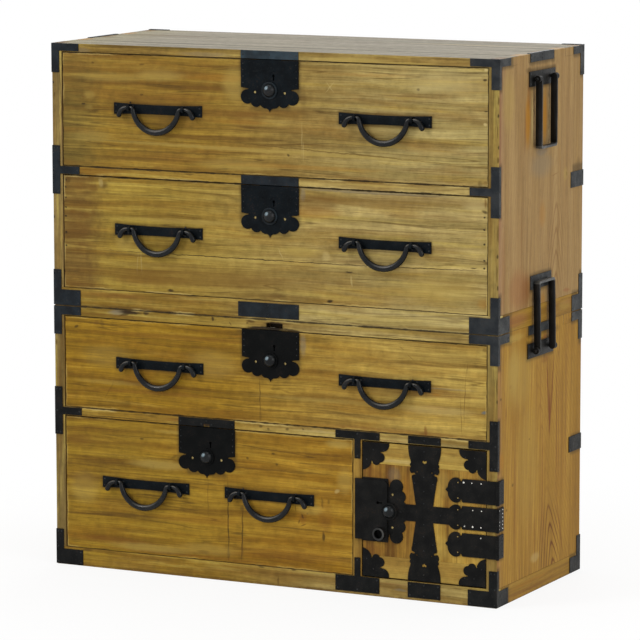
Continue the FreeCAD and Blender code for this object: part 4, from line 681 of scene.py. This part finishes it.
# Rings are pitch, strength, middle, tip, spread, rise and lean; arches are height, reach up, reach aside and
# how faint the rest is
sideLooks = {
    "upper": {
        **sideTones, "seed": 11.3, "rings": (10, 0.7, 68, 690, 10, 0.24, 0.0), "arches": (620, 85, 36, 0.30),
        "zones": [("y", frontMm + 30, frontMm + 5, 14, "#7F5C3E", "#9B7853")],
        "marks": [
            (-65, 858, 13, 52, "orange", 0.8), (12, 860, 11, 52, "orange", 0.85),
            (-76, 840, 5, 46, "rust", 0.35), (-45, 860, 4, 50, "pale", 0.55),
            (31, 860, 3.5, 50, "pale", 0.45), (-60, 905, 9, 30, "rust", 0.35), (48, 850, 6, 60, "straw", 0.3),
            (-60, 948, 16, 7, "stain", 0.5), (52, 945, 14, 8, "stain", 0.45), (-2, 775, 56, 26, "grey", 0.38),
            (0, 800, 30, 10, "blue", 0.3), (4, 685, 16, 26, "orange", 0.35), (-104, 560, 48, 42, "red", 0.5),
            (-70, 552, 18, 40, "rust", 0.4), (-110, 508, 60, 14, "red", 0.5),
            (-90, 650, 1.6, 72, "rust", 0.5), (-168, 600, 10, 90, "red", 0.22),
            (118, 534, 18, 4, "red", 0.6, -4), (115, 748, 4, 5, "stain", 0.6),
            (110, 748, 12, 14, "straw", 0.3), (168, 760, 12, 16, "stain", 0.35),
            (-60, 560, 14, 30, "rust", 0.35), (8, 530, 12, 14, "orange", 0.45),
            (-187, 850, 5, 90, "rust", 0.3), (75, 830, 1.8, 60, "rust", 0.3, 4),
            (84, 760, 1.6, 40, "rust", 0.28, 8), (60, 752, 16, 1.6, "rust", 0.35, 6),
            (-150, 900, 30, 60, "straw", 0.25), (-187, 700, 6, 60, "red", 0.3),
            (-56, 930, 8, 12, "stain", 0.3)]},
    "lower": {
        **sideTones, "seed": 14.9, "rings": (11, 1.0, 42, 138, 10, 0.30, 0.22), "arches": (84, 66, 46, 0.30),
        "dark": "#926C25", "light": "#A67F30", "line": "#7A4F22", "cloud": "#946A28", "ring": "#673A0D",
        "straw": "#B28B3E", "oil": "#8A5A22",
        "zones": [("y", frontMm + 30, frontMm + 6, 14, "#86602F", "#A27A40")],
        "marks": [
            (44, 318, 5.5, 46, "rust", 0.95), (35, 364, 3.6, 76, "rust", 0.8, 6),
            (55, 364, 3.6, 72, "rust", 0.8, -7), (45, 385, 6, 46, "rust", 0.3),
            (76, 300, 3.2, 160, "rust", 0.6), (86, 290, 2.4, 150, "rust", 0.4),
            (96, 94, 3.2, 62, "rust", 0.6, 16), (102, 300, 2.6, 150, "rust", 0.4),
            (119, 300, 2.6, 150, "rust", 0.35), (12, 190, 3, 125, "rust", 0.55),
            (3, 330, 2.4, 100, "rust", 0.35, 1), (-22, 95, 4.5, 58, "rust", 0.4),
            (-112, 190, 5, 125, "rust", 0.4), (-122, 212, 5, 4, "stain", 0.65),
            (-149, 171, 4, 3, "stain", 0.6), (-48, 284, 4, 2.5, "stain", 0.6),
            (-177, 375, 5, 3, "crack", 0.5), (-172, 262, 12, 18, "orange", 0.5),
            (-133, 391, 8, 4, "rust", 0.45, 10), (-40, 400, 2.5, 60, "rust", 0.3),
            (20, 420, 20, 8, "rust", 0.35), (175, 200, 12, 200, "brown", 0.25),
            (-120, 476, 50, 8, "straw", 0.4), (-100, 400, 70, 60, "straw", 0.3), (20, 460, 10, 8, "red", 0.5),
            (-20, 62, 22, 10, "pale", 0.3), (-120, 420, 26, 50, "straw", 0.3),
            (-30, 450, 40, 12, "rust", 0.4), (60, 470, 30, 9, "stain", 0.45),
            (150, 476, 26, 6, "stain", 0.45), (-60, 235, 60, 130, "straw", 0.18)]},
}
roofLook = {
    "grain": "xyz", "face": "xy", "dark": "#7C776A", "light": "#9A9384", "line": "#544C3E",
    "cloud": "#888171", "edge": "#C2BCA9", "grimeAndShadeTone": "#3A332A", "roughness": 0.8, "specular": 0.1,
    "sway": 20, "contrast": 0.7, "rimWidth": 3.6, "rubbed": 0.3,
    "zones": [("x", -300, -430, 60, "#878069", "#A09880")],
    "marks": [
        (-330, 60, 110, 22, "brown", 0.2), (80, -60, 26, 5, "stain", 0.35), (-60, 20, 34, 4, "stain", 0.35),
        (-300, -110, 60, 5, "stain", 0.35), (40, -160, 330, 10, "blue", 0.16),
        (260, 90, 120, 12, "pale", 0.15)],
}
innerLook = {
    "grain": "xyz", "face": "xz", "dark": "#A3845A", "light": "#C2A77C", "line": "#8A6B42",
    "cloud": "#B0946A", "roughness": 0.72, "specular": 0.12, "contrast": 0.7, "grime": 0.35,
}
backLook = {**innerLook, "line": "#5F4522", "cloud": "#94764A", "grime": 0.6}
backTones = (("#7A5C36", "#987A48"), ("#8A6B3E", "#A98A56"), ("#826744", "#A08658"))
# Places of the irons on a side board: middle y and z and half sizes, in millimetres
sideIrons = {
    "upper": [
        (-3, 969, 53, 8), (-3, 932, 58, 14), (-162, 970, 28, 8), (-186, 950, 5, 28), (170, 970, 24, 8),
        (186, 950, 5, 28), (168, 743, 22, 14), (-186, 743, 4, 45), (-186, 525, 5, 34), (-162, 505, 28, 14),
        (170, 508, 24, 16), (186, 530, 5, 30), (-3, 566, 46, 13)],
    "lower": [
        (-3, 480, 53, 8), (-3, 444, 58, 14), (-162, 480, 28, 8), (-186, 458, 5, 28), (170, 480, 24, 8),
        (186, 458, 5, 28), (168, 243, 22, 14), (-186, 292, 4, 45), (-178, 159, 12, 70), (-186, 34, 5, 34),
        (-165, 14, 25, 14), (170, 16, 24, 16)],
}
hingeIron = (-178, 159)
sideHalo = (9, 0.55)
woods = {}


def addWood(name, look):
    woods[name] = makeWood(name, look)


# Every board has grain of its own
for number, look in drawerLooks.items():
    addWood(f"paulownia front, oiled, drawer {number}", look)
for key, look in boardLooks.items():
    addWood(f"paulownia rail, oiled, {key}", look)
for section, railSeed in (("upper", 53.0), ("lower", 54.0)):
    look = sideLooks[section]
    look["halos"] = [(*iron, *sideHalo) for iron in sideIrons[section]]
    addWood(f"paulownia side, planed, {section} right", look)
    # The left board has only the first marks, and no hinge
    addWood(f"paulownia side, planed, {section} left", {
        **look, "seed": look["seed"] + 3, "marks": look["marks"][:8],
        "halos": [halo for halo in look["halos"] if halo[:2] != hingeIron]})
    addWood(f"paulownia side rail, planed, {section}", {
        **look, "grain": "yzx", "dark": "#856222", "light": "#9F7B2E", "cloud": "#8A6221", "straw": "#AC8636",
        "seed": railSeed, "rings": (9, 0.3, 0, 0, 40, 0, 0), "zones": (),
        "marks": [
            (-110, 508, 60, 14, "red", 0.5), (-60, 10, 120, 4, "rust", 0.3), (110, 508, 30, 10, "straw", 0.3),
            (130, 512, 40, 6, "red", 0.25), (-40, 22, 100, 4, "orange", 0.3)]})
# The stile's zone makes the right stile paler than the left: partly a real change of tone, partly painted
# light
addWood("paulownia stile, oiled", {
    **railTones, "grain": "zxy", "dark": "#67552A", "light": "#867040", "seed": 19.0,
    "zones": [("x", -150, 150, 60, "#7C6732", "#A08A4C")],
    "marks": [
        (-448, 905, 2.5, 3, "crack", 0.9), (-446, 882, 2, 5, "stain", 0.7), (-449, 655, 2, 4, "crack", 0.8),
        (-447, 420, 2, 6, "stain", 0.7), (-434, 620, 2, 30, "straw", 0.5), (-434, 850, 2, 60, "straw", 0.6),
        (448, 905, 1.6, 9, "stain", 0.8), (448, 878, 2.2, 4, "crack", 0.8), (447, 850, 1.6, 14, "stain", 0.7),
        (449, 822, 2.4, 4, "crack", 0.8), (448, 800, 2.2, 6, "stain", 0.7), (449, 670, 2.2, 20, "stain", 0.6),
        (448, 630, 2.2, 4, "crack", 0.7), (447, 600, 1.6, 18, "stain", 0.6), (449, 575, 2.4, 5, "crack", 0.7),
        (448, 400, 2, 16, "stain", 0.6), (449, 372, 2.4, 4, "crack", 0.7), (440, 640, 4, 60, "straw", 0.3)]})
for index, (dark, light) in enumerate(backTones):
    addWood(f"paulownia back board, planed, {index}", {
        **backLook, "seed": 40.0 + 3.1 * index, "dark": dark, "light": light})
    # The joints between the planks are dark, and not the outer edges
    low, high = plankEdges[index:index + 2]
    addWood(f"paulownia roof plank, weathered, {index}", {
        **roofLook, "seed": 30.0 + 2.3 * index,
        "rim": [("y", low, 1)] * (index > 0) + [("y", high, -1)] * (index < 2)})
# Near black: painted shade inside the deep slot
addWood("paulownia, split, painted shade inside", {
    **railTones, "dark": "#181109", "light": "#261C10", "line": "#100B06", "cloud": "#1D150B",
    "straw": "#2B2013", "oil": "#140E08", "zones": (), "seed": 71.0})
addWood("paulownia roof plank, oiled front edge", {
    **railTones, "dark": "#70591F", "light": "#94793A", "seed": 37.5,
    "marks": [
        (-330, 974, 70, 3, "stain", 0.6), (-200, 975, 120, 2.2, "grime", 0.4),
        (-130, 966, 60, 5, "grey", 0.35), (90, 975, 60, 2, "stain", 0.5), (160, 966, 80, 5, "straw", 0.5),
        (280, 963, 60, 4, "straw", 0.5), (350, 974, 60, 2.4, "stain", 0.5),
        (-250, 962, 60, 2.4, "grime", 0.5), (-390, 965, 24, 6, "grey", 0.3)]})
addWood("paulownia door batten, oiled", {
    "grain": "xzy", "face": "xz", "dark": "#957532", "light": "#B69949", "line": "#7A5A24",
    "cloud": "#9D7A36", "seed": 51.0, "lineStrength": 0.35,
    "marks": [
        (260, 250, 60, 4, "pale", 0.4), (350, 262, 40, 6, "straw", 0.4)]})
addWood("paulownia door panel, oiled", {
    "grain": "zxy", "face": "xz", "dark": "#664416", "light": "#926E29", "line": "#5C3816",
    "cloud": "#7A501A", "straw": "#A98436", "oil": "#62401A", "seed": 53.0,
    "zones": [("x", 285, 312, 20, "#917029", "#B79543")],
    "marks": [
        (246, 189, 8, 7, "pale", 0.85), (246, 129, 8, 7, "pale", 0.85), (205, 225, 24, 14, "rust", 0.35, -20),
        (248, 225, 14, 16, "grey", 0.35), (270, 190, 10, 40, "orange", 0.35),
        (345, 215, 14, 30, "straw", 0.3), (210, 84, 20, 14, "rust", 0.35), (345, 100, 14, 24, "straw", 0.3)]})
addWood("paulownia divider, oiled", {
    "grain": "zxy", "face": "xz", "dark": "#7E5E24", "light": "#A38138", "line": "#5A4116",
    "cloud": "#8A6828", "seed": 57.0})
for index, grain in enumerate(("xyz", "yzx", "zxy")):
    addWood(f"bare paulownia, planed, along {grain[0]}", {**innerLook, "grain": grain, "seed": 60.0 + index})

# The case irons' ends are painted light: paler on the right of the front and on the right side
corner = (halfWidth / mm + 0.1, halfWidth / mm + 0.9, "LINEAR")
paintedLightRight = (250, 430, "SMOOTHSTEP")
caseIron = makeBlackIron("black lacquered iron sheet, hammered", {
    "dark": "#0C1116", "light": "#182026", "dimple": 0.35, "specular": 0.15,
    "ends": [(*paintedLightRight, "#1B1F23", "#2C2F31"), (*corner, "#1F2122", "#393B3B")]})
baseIron = makeBlackIron("black lacquered iron sheet, hammered, lower case", {
    "dark": "#090A0A", "light": "#141515", "dimple": 0.35, "specular": 0.1,
    "ends": [(*paintedLightRight, "#0C0D0E", "#191A1A"), (*corner, "#181817", "#2C2C2A")]})
strikeIron = makeBlackIron("black lacquered iron sheet, rubbed to slate", {
    "dark": "#141F26", "light": "#2A3942", "roughness": 0.45, "specular": 0.2})
# Paler iron: real wear on the carrying bars, and a painted highlight on the rim of the keyhole tube
wornAndHighlitIron = makeBlackIron("black lacquered iron bar, worn by hands", {
    "dark": "#1A1A19", "light": "#4A4A47", "roughness": 0.35, "specular": 0.3})
doorIron = makeBlackIron("black lacquered iron sheet, cut", {
    "dark": "#090909", "light": "#151514", "roughness": 0.52, "specular": 0.09})
lockIron = makeBlackIron("black lacquered iron sheet, filed", {
    "dark": "#02060A", "light": "#081015", "dimple": 0.25, "specular": 0.08})
lowLockIron = makeBlackIron("black lacquered iron sheet, filed, lower case", {
    "dark": "#030404", "light": "#080909", "dimple": 0.25, "specular": 0.07, "rust": 0.14, "dust": 0.12})
overIron = makeBlackIron("black lacquered iron sheet, filed, upper layer", {
    "dark": "#0B1115", "light": "#1B252B", "roughness": 0.42, "dimple": 0.25, "specular": 0.16})
# The crown of the bails and knobs is a painted highlight on the faces that turn up and to the front
handleIron = makeBlackIron("black lacquered iron, forged, with painted highlight", {
    "dark": "#07090B", "light": "#121517", "roughness": 0.27, "dimple": 0.2, "specular": 0.2,
    "crown": ((-0.1, -0.75, 0.65), 0.90, 1.0, "#5E5B55", 0.75)})
knobIron = makeBlackIron("black iron button, with painted highlight", {
    "dark": "#07090A", "light": "#141719", "roughness": 0.3, "dimple": 0.1, "specular": 0.2,
    "crown": ((-0.16, -0.88, 0.42), 0.93, 1.0, "#7F929B", 0.85)})
carryIron = makeBlackIron("black lacquered iron bar, forged", {"dark": "#0A0A09", "light": "#161513"})
nailIron = makeBlackIron("black iron nails, headed by hand", {
    "dark": "#131517", "light": "#2A2C2D", "roughness": 0.4, "dimple": 0.1, "dust": 0.5})
rubbedIron = makeRubbedIron("iron, rubbed bright", {
    "dark": "#B9B7AE", "light": "#F0EEE6", "roughness": 0.3, "metallic": 0.55, "grain": 1.5})
yellowPin = makeRubbedIron("iron pin, tarnished yellow", {
    "dark": "#8A7440", "light": "#B59C5C", "roughness": 0.4, "metallic": 0.4, "grain": 1.5})
print("stage: materials", len(bpy.data.materials))


def linkPiece(name, mesh, materials, body):
    data = bpy.data.meshes.new(name)
    mesh.to_mesh(data)
    mesh.free()
    piece = bpy.data.objects.new(name, data)
    bpy.context.scene.collection.objects.link(piece)
    for material in materials:
        data.materials.append(material)
    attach(piece, body)
    return piece


# How a node's mesh is read: the depth of a test point in its face, the reach in which corners are merged, and
# the angles up to which faces are flat and over which an edge is sharp
reading = {"depth": 0.4 * mm, "merge": 0.004 * mm, "flat": math.radians(1), "sharp": math.radians(35)}


# Merges the loose triangles of a node's mesh, and its flat faces too
def mergeFaces(part, flat=True):
    bmesh.ops.remove_doubles(part, verts=part.verts, dist=reading["merge"])
    if flat:
        bmesh.ops.dissolve_limit(part, angle_limit=reading["flat"], verts=part.verts, edges=part.edges)


# A worn copy of a node: its boards are parted, merged, and their long edges rounded by use.
# Each board is a material and a test of a point just inside it; a face takes the first that fits.
def wornPiece(node, body, boards, rounding, smooth=0, segments=2):
    source = nodes[node].data
    joined = bmesh.new()
    taken = []
    for polygon in source.polygons:
        inside = polygon.center - polygon.normal * reading["depth"]
        taken.append(next((i for i, (_, test) in enumerate(boards) if test(inside)), 0))
    materials = []
    for index, (material, _) in enumerate(boards):
        if index not in taken:
            continue
        part = bmesh.new()
        part.from_mesh(source)
        part.faces.ensure_lookup_table()
        other = [face for face in part.faces if taken[face.index] != index]
        bmesh.ops.delete(part, geom=other, context="FACES")
        mergeFaces(part, flat=not smooth)
        if rounding:
            sharp = [edge for edge in part.edges
                     if len(edge.link_faces) == 2 and edge.calc_face_angle(0) > reading["sharp"]]
            bmesh.ops.bevel(part, geom=sharp, offset=rounding * mm, offset_type="OFFSET", affect="EDGES",
                            segments=segments, profile=0.5, material=-1, clamp_overlap=True)
        for face in part.faces:
            face.material_index = len(materials)
            face.smooth = bool(smooth)
        materials.append(material)
        data = bpy.data.meshes.new("part")
        part.to_mesh(data)
        part.free()
        joined.from_mesh(data)
        bpy.data.meshes.remove(data)
    piece = linkPiece(node + "_worn", joined, materials, body)
    if smooth:
        piece.data.set_sharp_from_angle(angle=math.radians(smooth))
    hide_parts(node)
    return piece


def always(point):
    return True


# Tests if a point lies between two levels along an axis
def within(axis, low=-9, high=9):
    number = "xyz".index(axis)
    return lambda point: low < point[number] < high


# Cases: thicknesses of the boards whose faces are told apart, and the open slot of the missing strike plate,
# whose faces are near black as painted shade, all in millimetres
caseThick = {"batten": 25, "rail": 24, "divider": 17, "lining": 8}
slot = {"middle": 8, "half": 20, "deep": 15, "low": 3, "high": 14}
skin = 0.5 * mm
bareX, bareY, bareZ = (woods[f"bare paulownia, planed, along {axis}"] for axis in "xyz")
backBoards = [woods[f"paulownia back board, planed, {index}"] for index in range(3)]
planks = [woods[f"paulownia roof plank, weathered, {index}"] for index in range(3)]


# Tests if a point lies in the slot's place in a top board
def inSlot(roofLow):
    low, high = (roofLow + slot[level] * mm for level in ("low", "high"))
    middle, half, back = slot["middle"] * mm, slot["half"] * mm, frontFace + slot["deep"] * mm
    return lambda point: abs(point.x - middle) < half and point.y < back and low < point.z < high


frontEdges = {"lower": "rail, oiled, lowerRoofPlank", "upper": "roof plank, oiled front edge"}
for section, frontEdge in frontEdges.items():
    body = section + "_case"
    low, high = (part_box(section + name)[0].z for name in ("_back_boards", "_top_board"))
    rightSide, leftSide = (woods[f"paulownia side, planed, {section} {hand}"] for hand in ("right", "left"))
    sideRail = woods[f"paulownia side rail, planed, {section}"]
    wornPiece(section + "_sides", body, [
        (woods["paulownia stile, oiled"], within("y", high=frontFace + skin)),
        (rightSide, within("x", 0)), (leftSide, always)], 0.8)
    wornPiece(section + "_top_board", body, [
        (rightSide, within("x", halfWidth - skin)), (leftSide, within("x", high=skin - halfWidth)),
        (woods["paulownia " + frontEdge], within("y", high=frontFace + skin)),
        (woods["paulownia, split, painted shade inside"], inSlot(high)),
        (backBoards[2], within("y", backFace - skin)),
        *((planks[i], within("y", *plankEdges[i:i + 2])) for i in range(2)), (planks[2], always)], 0.8)
    third = (high - low) / 3
    wornPiece(section + "_back_boards", body, [
        (backBoards[i], within("z", low + i * third, low + (i + 1) * third)) for i in range(3)], 1.0)
    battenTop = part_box(section + "_base_frame")[0].z + caseThick["batten"] * mm
    wornPiece(section + "_base_frame", body, [
        (woods[f"paulownia rail, oiled, {section}BaseRail"], within("y", high=frontFace + boardThick)),
        (backBoards[0], within("y", backFace - boardThick)), (sideRail, within("x", halfWidth - boardThick)),
        (sideRail, within("x", high=boardThick - halfWidth)), (bareY, within("z", high=battenTop)),
        (bareX, always)], 0.8)
    railBack = frontFace + caseThick["rail"] * mm
    wornPiece(section + "_rail_shelf", body, [
        (woods[f"paulownia rail, oiled, {section}MiddleRail"], within("y", high=railBack)),
        (bareX, always)], 0.5)
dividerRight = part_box("lower_partitions")[0].x + caseThick["divider"] * mm
liningLeft = halfWidth - boardThick - caseThick["lining"] * mm
wornPiece("lower_partitions", "lower_case", [
    (woods["paulownia divider, oiled"], within("x", high=dividerRight)), (bareZ, within("x", liningLeft)),
    (bareY, always)], 0.5)
print("stage: cases")

# Drawers and door: thicknesses of their boards and width of the door's battens, in millimetres
thick = {"side": 10, "knobs": 9, "smallFront": 12, "smallSide": 8, "batten": 38.5}
for number in range(1, 5):
    name = f"drawer_{number}"
    wornPiece(name + "_front", name, [
        (woods[f"paulownia front, oiled, drawer {number}"], always)], 1.3, segments=3)
    low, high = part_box(name + "_box")
    wornPiece(name + "_box", name, [
        (bareY, within("x", high=low.x + thick["side"] * mm)),
        (bareY, within("x", high.x - thick["side"] * mm)), (bareX, always)], 0.6)
for level in ("bottom", "top"):
    name = "inner_drawer_" + level
    low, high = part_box(name)
    face = low.y + thick["knobs"] * mm
    wornPiece(name, name, [
        (handleIron, within("y", high=face)), (bareX, within("y", face, face + thick["smallFront"] * mm)),
        (bareY, within("x", high=low.x + thick["smallSide"] * mm)),
        (bareY, within("x", high.x - thick["smallSide"] * mm)), (bareX, always)], 0.5)
low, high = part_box("door_boards")
batten = woods["paulownia door batten, oiled"]
wornPiece("door_boards", "door", [
    (batten, within("z", high=low.z + thick["batten"] * mm)),
    (batten, within("z", high.z - thick["batten"] * mm)),
    (woods["paulownia door panel, oiled"], always)], 0.5)
print("stage: drawers and door boards")

# Irons: body, finish, rounding of the edges in millimetres and angle of smooth shading
ironNodes = {
    "upper_irons": ("upper_case", caseIron, 0.35, 0),
    "lower_irons": ("lower_case", caseIron, 0.35, 0),
    "upper_handle_plates": ("upper_case", carryIron, 0.5, 40),
    "lower_handle_plates": ("lower_case", carryIron, 0.5, 40),
    "door_bands": ("door", doorIron, 0.3, 0),
    "door_straps": ("door", doorIron, 0.4, 40),
    "door_lock_plate": ("door", doorIron, 0.4, 40),
    "door_hinge_leaves": ("lower_case", doorIron, 0.3, 40),
    "door_lock_button": ("door_lock_button", knobIron, 0.3, 40),
    "door_lock_bolt": ("door_lock_bolt", lockIron, 0.4, 0),
}
# Another finish on part of a node: the strike plate, the lower irons of the lower case, the rim of the
# keyhole tube, paler as a painted highlight, the upper layer of a lock plate, and the bar between a carrying
# handle's legs, worn paler
strikeHalf, strikeFoot, baseTop = 60 * mm, 955 * mm, 420 * mm
tubeRim, overLayer, gripThick = 1 * mm, 1.9 * mm, 7 * mm
otherFinish = {
    "upper_irons": (strikeIron, lambda point: abs(point.x) < strikeHalf and point.z > strikeFoot),
    "lower_irons": (baseIron, within("z", high=baseTop)),
    "door_lock_plate": (wornAndHighlitIron, within("y", high=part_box("door_lock_plate")[0].y + tubeRim)),
}
for place in ("upper_right", "upper_left", "lower_right", "lower_left"):
    node = place + "_carry_handle"
    ironNodes[node] = (node, carryIron, 0.8, 40)
    low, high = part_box(node)
    hanging, standing = within("z", high=low.z + gripThick), within("z", high.z - gripThick)
    otherFinish[node] = (wornAndHighlitIron, hanging if "upper" in place else standing)
for number in range(1, 5):
    name = f"drawer_{number}"
    ironNodes[name + "_lock_plate"] = (name, lockIron if number < 3 else lowLockIron, 0.3, 0)
    ironNodes[name + "_handle_plates"] = (name, lockIron, 0.3, 40)
    ironNodes[name + "_lock_button"] = (name + "_lock_button", knobIron, 0.3, 40)
    ironNodes[name + "_lock_bolt"] = (name + "_lock_bolt", lockIron, 0.4, 0)
    if number < 3:
        otherFinish[name + "_lock_plate"] = (overIron, within("y", high=boardFace - overLayer))
    for hand in ("left", "right"):
        ironNodes[f"{name}_{hand}_bail"] = (f"{name}_{hand}_bail", handleIron, 0, 60)
for node, (body, material, rounding, smooth) in ironNodes.items():
    boards = [otherFinish[node]] if node in otherFinish else []
    wornPiece(node, body, boards + [(material, always)], rounding, smooth)
print("stage: irons")

# Nails: small hand-cut heads, hardly domed, so each is a low six-sided frustum turned at random
nails = {"radius": 1.7, "crown": 0.9, "height": 0.6, "sides": 6, "inset": 4.6, "merge": 7.0, "span": 62.0,
         "leastArea": 150.0}
chance = random.Random(7)


# Corners and long edges of a node's flat plates that face one way, outside the given depth
def plateSpots(node, facing, depth):
    plate = bmesh.new()
    plate.from_mesh(nodes[node].data)
    mergeFaces(plate)
    spots = []
    for face in plate.faces:
        if face.normal.dot(facing) < 0.99 or face.calc_area() < nails["leastArea"] * mm * mm:
            continue
        if face.calc_center_median().dot(facing) < depth:
            continue
        for loop in face.loops:
            corner = loop.vert.co
            before = loop.link_loop_prev.vert.co - corner
            after = loop.link_loop_next.vert.co - corner
            wanted = []
            if after.normalized().cross(before.normalized()).dot(face.normal) > 0.8:
                wanted.append(corner + (before.normalized() + after.normalized()) * nails["inset"] * mm)
            if after.length > nails["span"] * mm:
                inward = face.normal.cross(after).normalized() * nails["inset"] * mm
                count = int(after.length / (nails["span"] * mm)) + 1
                wanted += [corner + after * (i / count) + inward for i in range(1, count)]
            for spot in wanted:
                apart = [(other - spot).length for other in spots]
                near = next((i for i, length in enumerate(apart) if length < nails["merge"] * mm), None)
                if near is None:
                    spots.append(spot)
                else:
                    spots[near] = (spots[near] + spot) / 2
    plate.free()
    return [(spot, facing, 1.0) for spot in spots]


def nailHeads(name, body, material, spots):
    heads = bmesh.new()
    for place, facing, size in spots:
        upright = facing.to_track_quat("Z", "Y").to_matrix().to_4x4()
        where = Matrix.Translation(place + facing * nails["height"] * mm / 2) @ (
            upright @ Matrix.Rotation(chance.uniform(0, 3), 4, "Z"))
        bmesh.ops.create_cone(
            heads, cap_ends=True, segments=nails["sides"], radius1=nails["radius"] * size * mm,
            radius2=nails["crown"] * size * mm, depth=nails["height"] * mm, matrix=where)
    return linkPiece(name, heads, [material], body)


# Places on a face of the front, from pairs of x and z in millimetres
def frontSpots(level, pairs, size=1.0):
    return [(Vector((x * mm, level, z * mm)), towardFront, size) for x, z in pairs]


towardFront, towardRight, towardLeft = Vector((0, -1, 0)), Vector((1, 0, 0)), Vector((-1, 0, 0))
for section in ("upper", "lower"):
    spots = []
    for node in (section + "_irons", section + "_handle_plates"):
        for facing, depth in ((towardFront, -frontFace), (towardRight, halfWidth), (towardLeft, halfWidth)):
            spots += plateSpots(node, facing, depth + skin)
    nailHeads(section + "_nails", section + "_case", nailIron, spots)

# Two rows of small nails down the sides of a lock plate; the first of a double plate are on its upper layer
lockNails = {"column": 53.5, "first": 8.0, "pitch": 11.5, "rows": 4, "size": 0.75, "plate": 1.5, "layer": 2.3}
for number in range(1, 5):
    name = f"drawer_{number}"
    low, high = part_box(name + "_lock_plate")
    middle, top = (low.x + high.x) / 2 / mm, high.z / mm
    spots = []
    for row in range(lockNails["rows"]):
        level = boardFace - lockNails["layer" if number < 3 and row == 0 else "plate"] * mm
        drop = lockNails["first"] + lockNails["pitch"] * row
        pairs = [(middle + side * lockNails["column"], top - drop) for side in (-1, 1)]
        spots += frontSpots(level, pairs, lockNails["size"])
    spots += plateSpots(name + "_handle_plates", towardFront, -boardFace + 1 * mm)
    nailHeads(name + "_nails", name, nailIron, spots)

# The door: black nails on its bands, bright ones on the straps and the middle leaf, as pairs of x and z
doorNails = {
    "bandLevel": 1.2, "strapLevel": 2.0, "leafLevel": 1.5, "straps": (110, 159, 208), "middle": 159,
    "lobes": (374, 14), "leafColumns": (-183, -169), "leafRows": (-17, -10, -3.5, 3.5, 10, 17),
    "brightShare": 0.7,
    "bands": [
        (307, 272), (307, 226), (289, 214), (325, 214), (307, 200), (307, 178), (307, 140), (307, 118),
        (289, 104), (325, 104), (307, 92), (307, 48), (262, 159), (340, 159), (207, 268), (194, 250),
        (228, 268), (406, 268), (420, 250), (388, 268), (207, 50), (194, 68), (228, 50), (406, 50), (420, 68),
        (388, 50)],
    "bright": [
        ([(385, 223)], 1.15),
        ([(401, 223), (419, 223), (403, 174), (420, 174), (387, 144), (419, 144), (419, 125)], 0.8),
        ([(403, 144)], 1.1)],
}
bandFace, strapFace = (boardFace - doorNails[level] * mm for level in ("bandLevel", "strapLevel"))
nailHeads("door_nails", "door", nailIron, frontSpots(bandFace, doorNails["bands"], 0.8))
brightSpots = [spot for pairs, size in doorNails["bright"] for spot in frontSpots(strapFace, pairs, size)]
nailHeads("door_bright_nails", "door", rubbedIron, brightSpots)
across, rise = doorNails["lobes"]
lobes = [(across, level + side * rise) for level in doorNails["straps"] for side in (-1, 1)]
nailHeads("door_strap_pins", "door", yellowPin, frontSpots(strapFace, lobes, 0.7))
leafFace = halfWidth + doorNails["leafLevel"] * mm
leafSpots = {"bright": [], "dark": []}
for level in doorNails["straps"]:
    for y in doorNails["leafColumns"]:
        for rise in doorNails["leafRows"]:
            bright = level == doorNails["middle"] and chance.random() < doorNails["brightShare"]
            spot = Vector((leafFace, y * mm, (level + rise) * mm))
            leafSpots["bright" if bright else "dark"].append((spot, towardRight, 0.7))
nailHeads("leaf_bright_nails", "lower_case", rubbedIron, leafSpots["bright"])
nailHeads("leaf_nails", "lower_case", nailIron, leafSpots["dark"])
print("stage: nails")
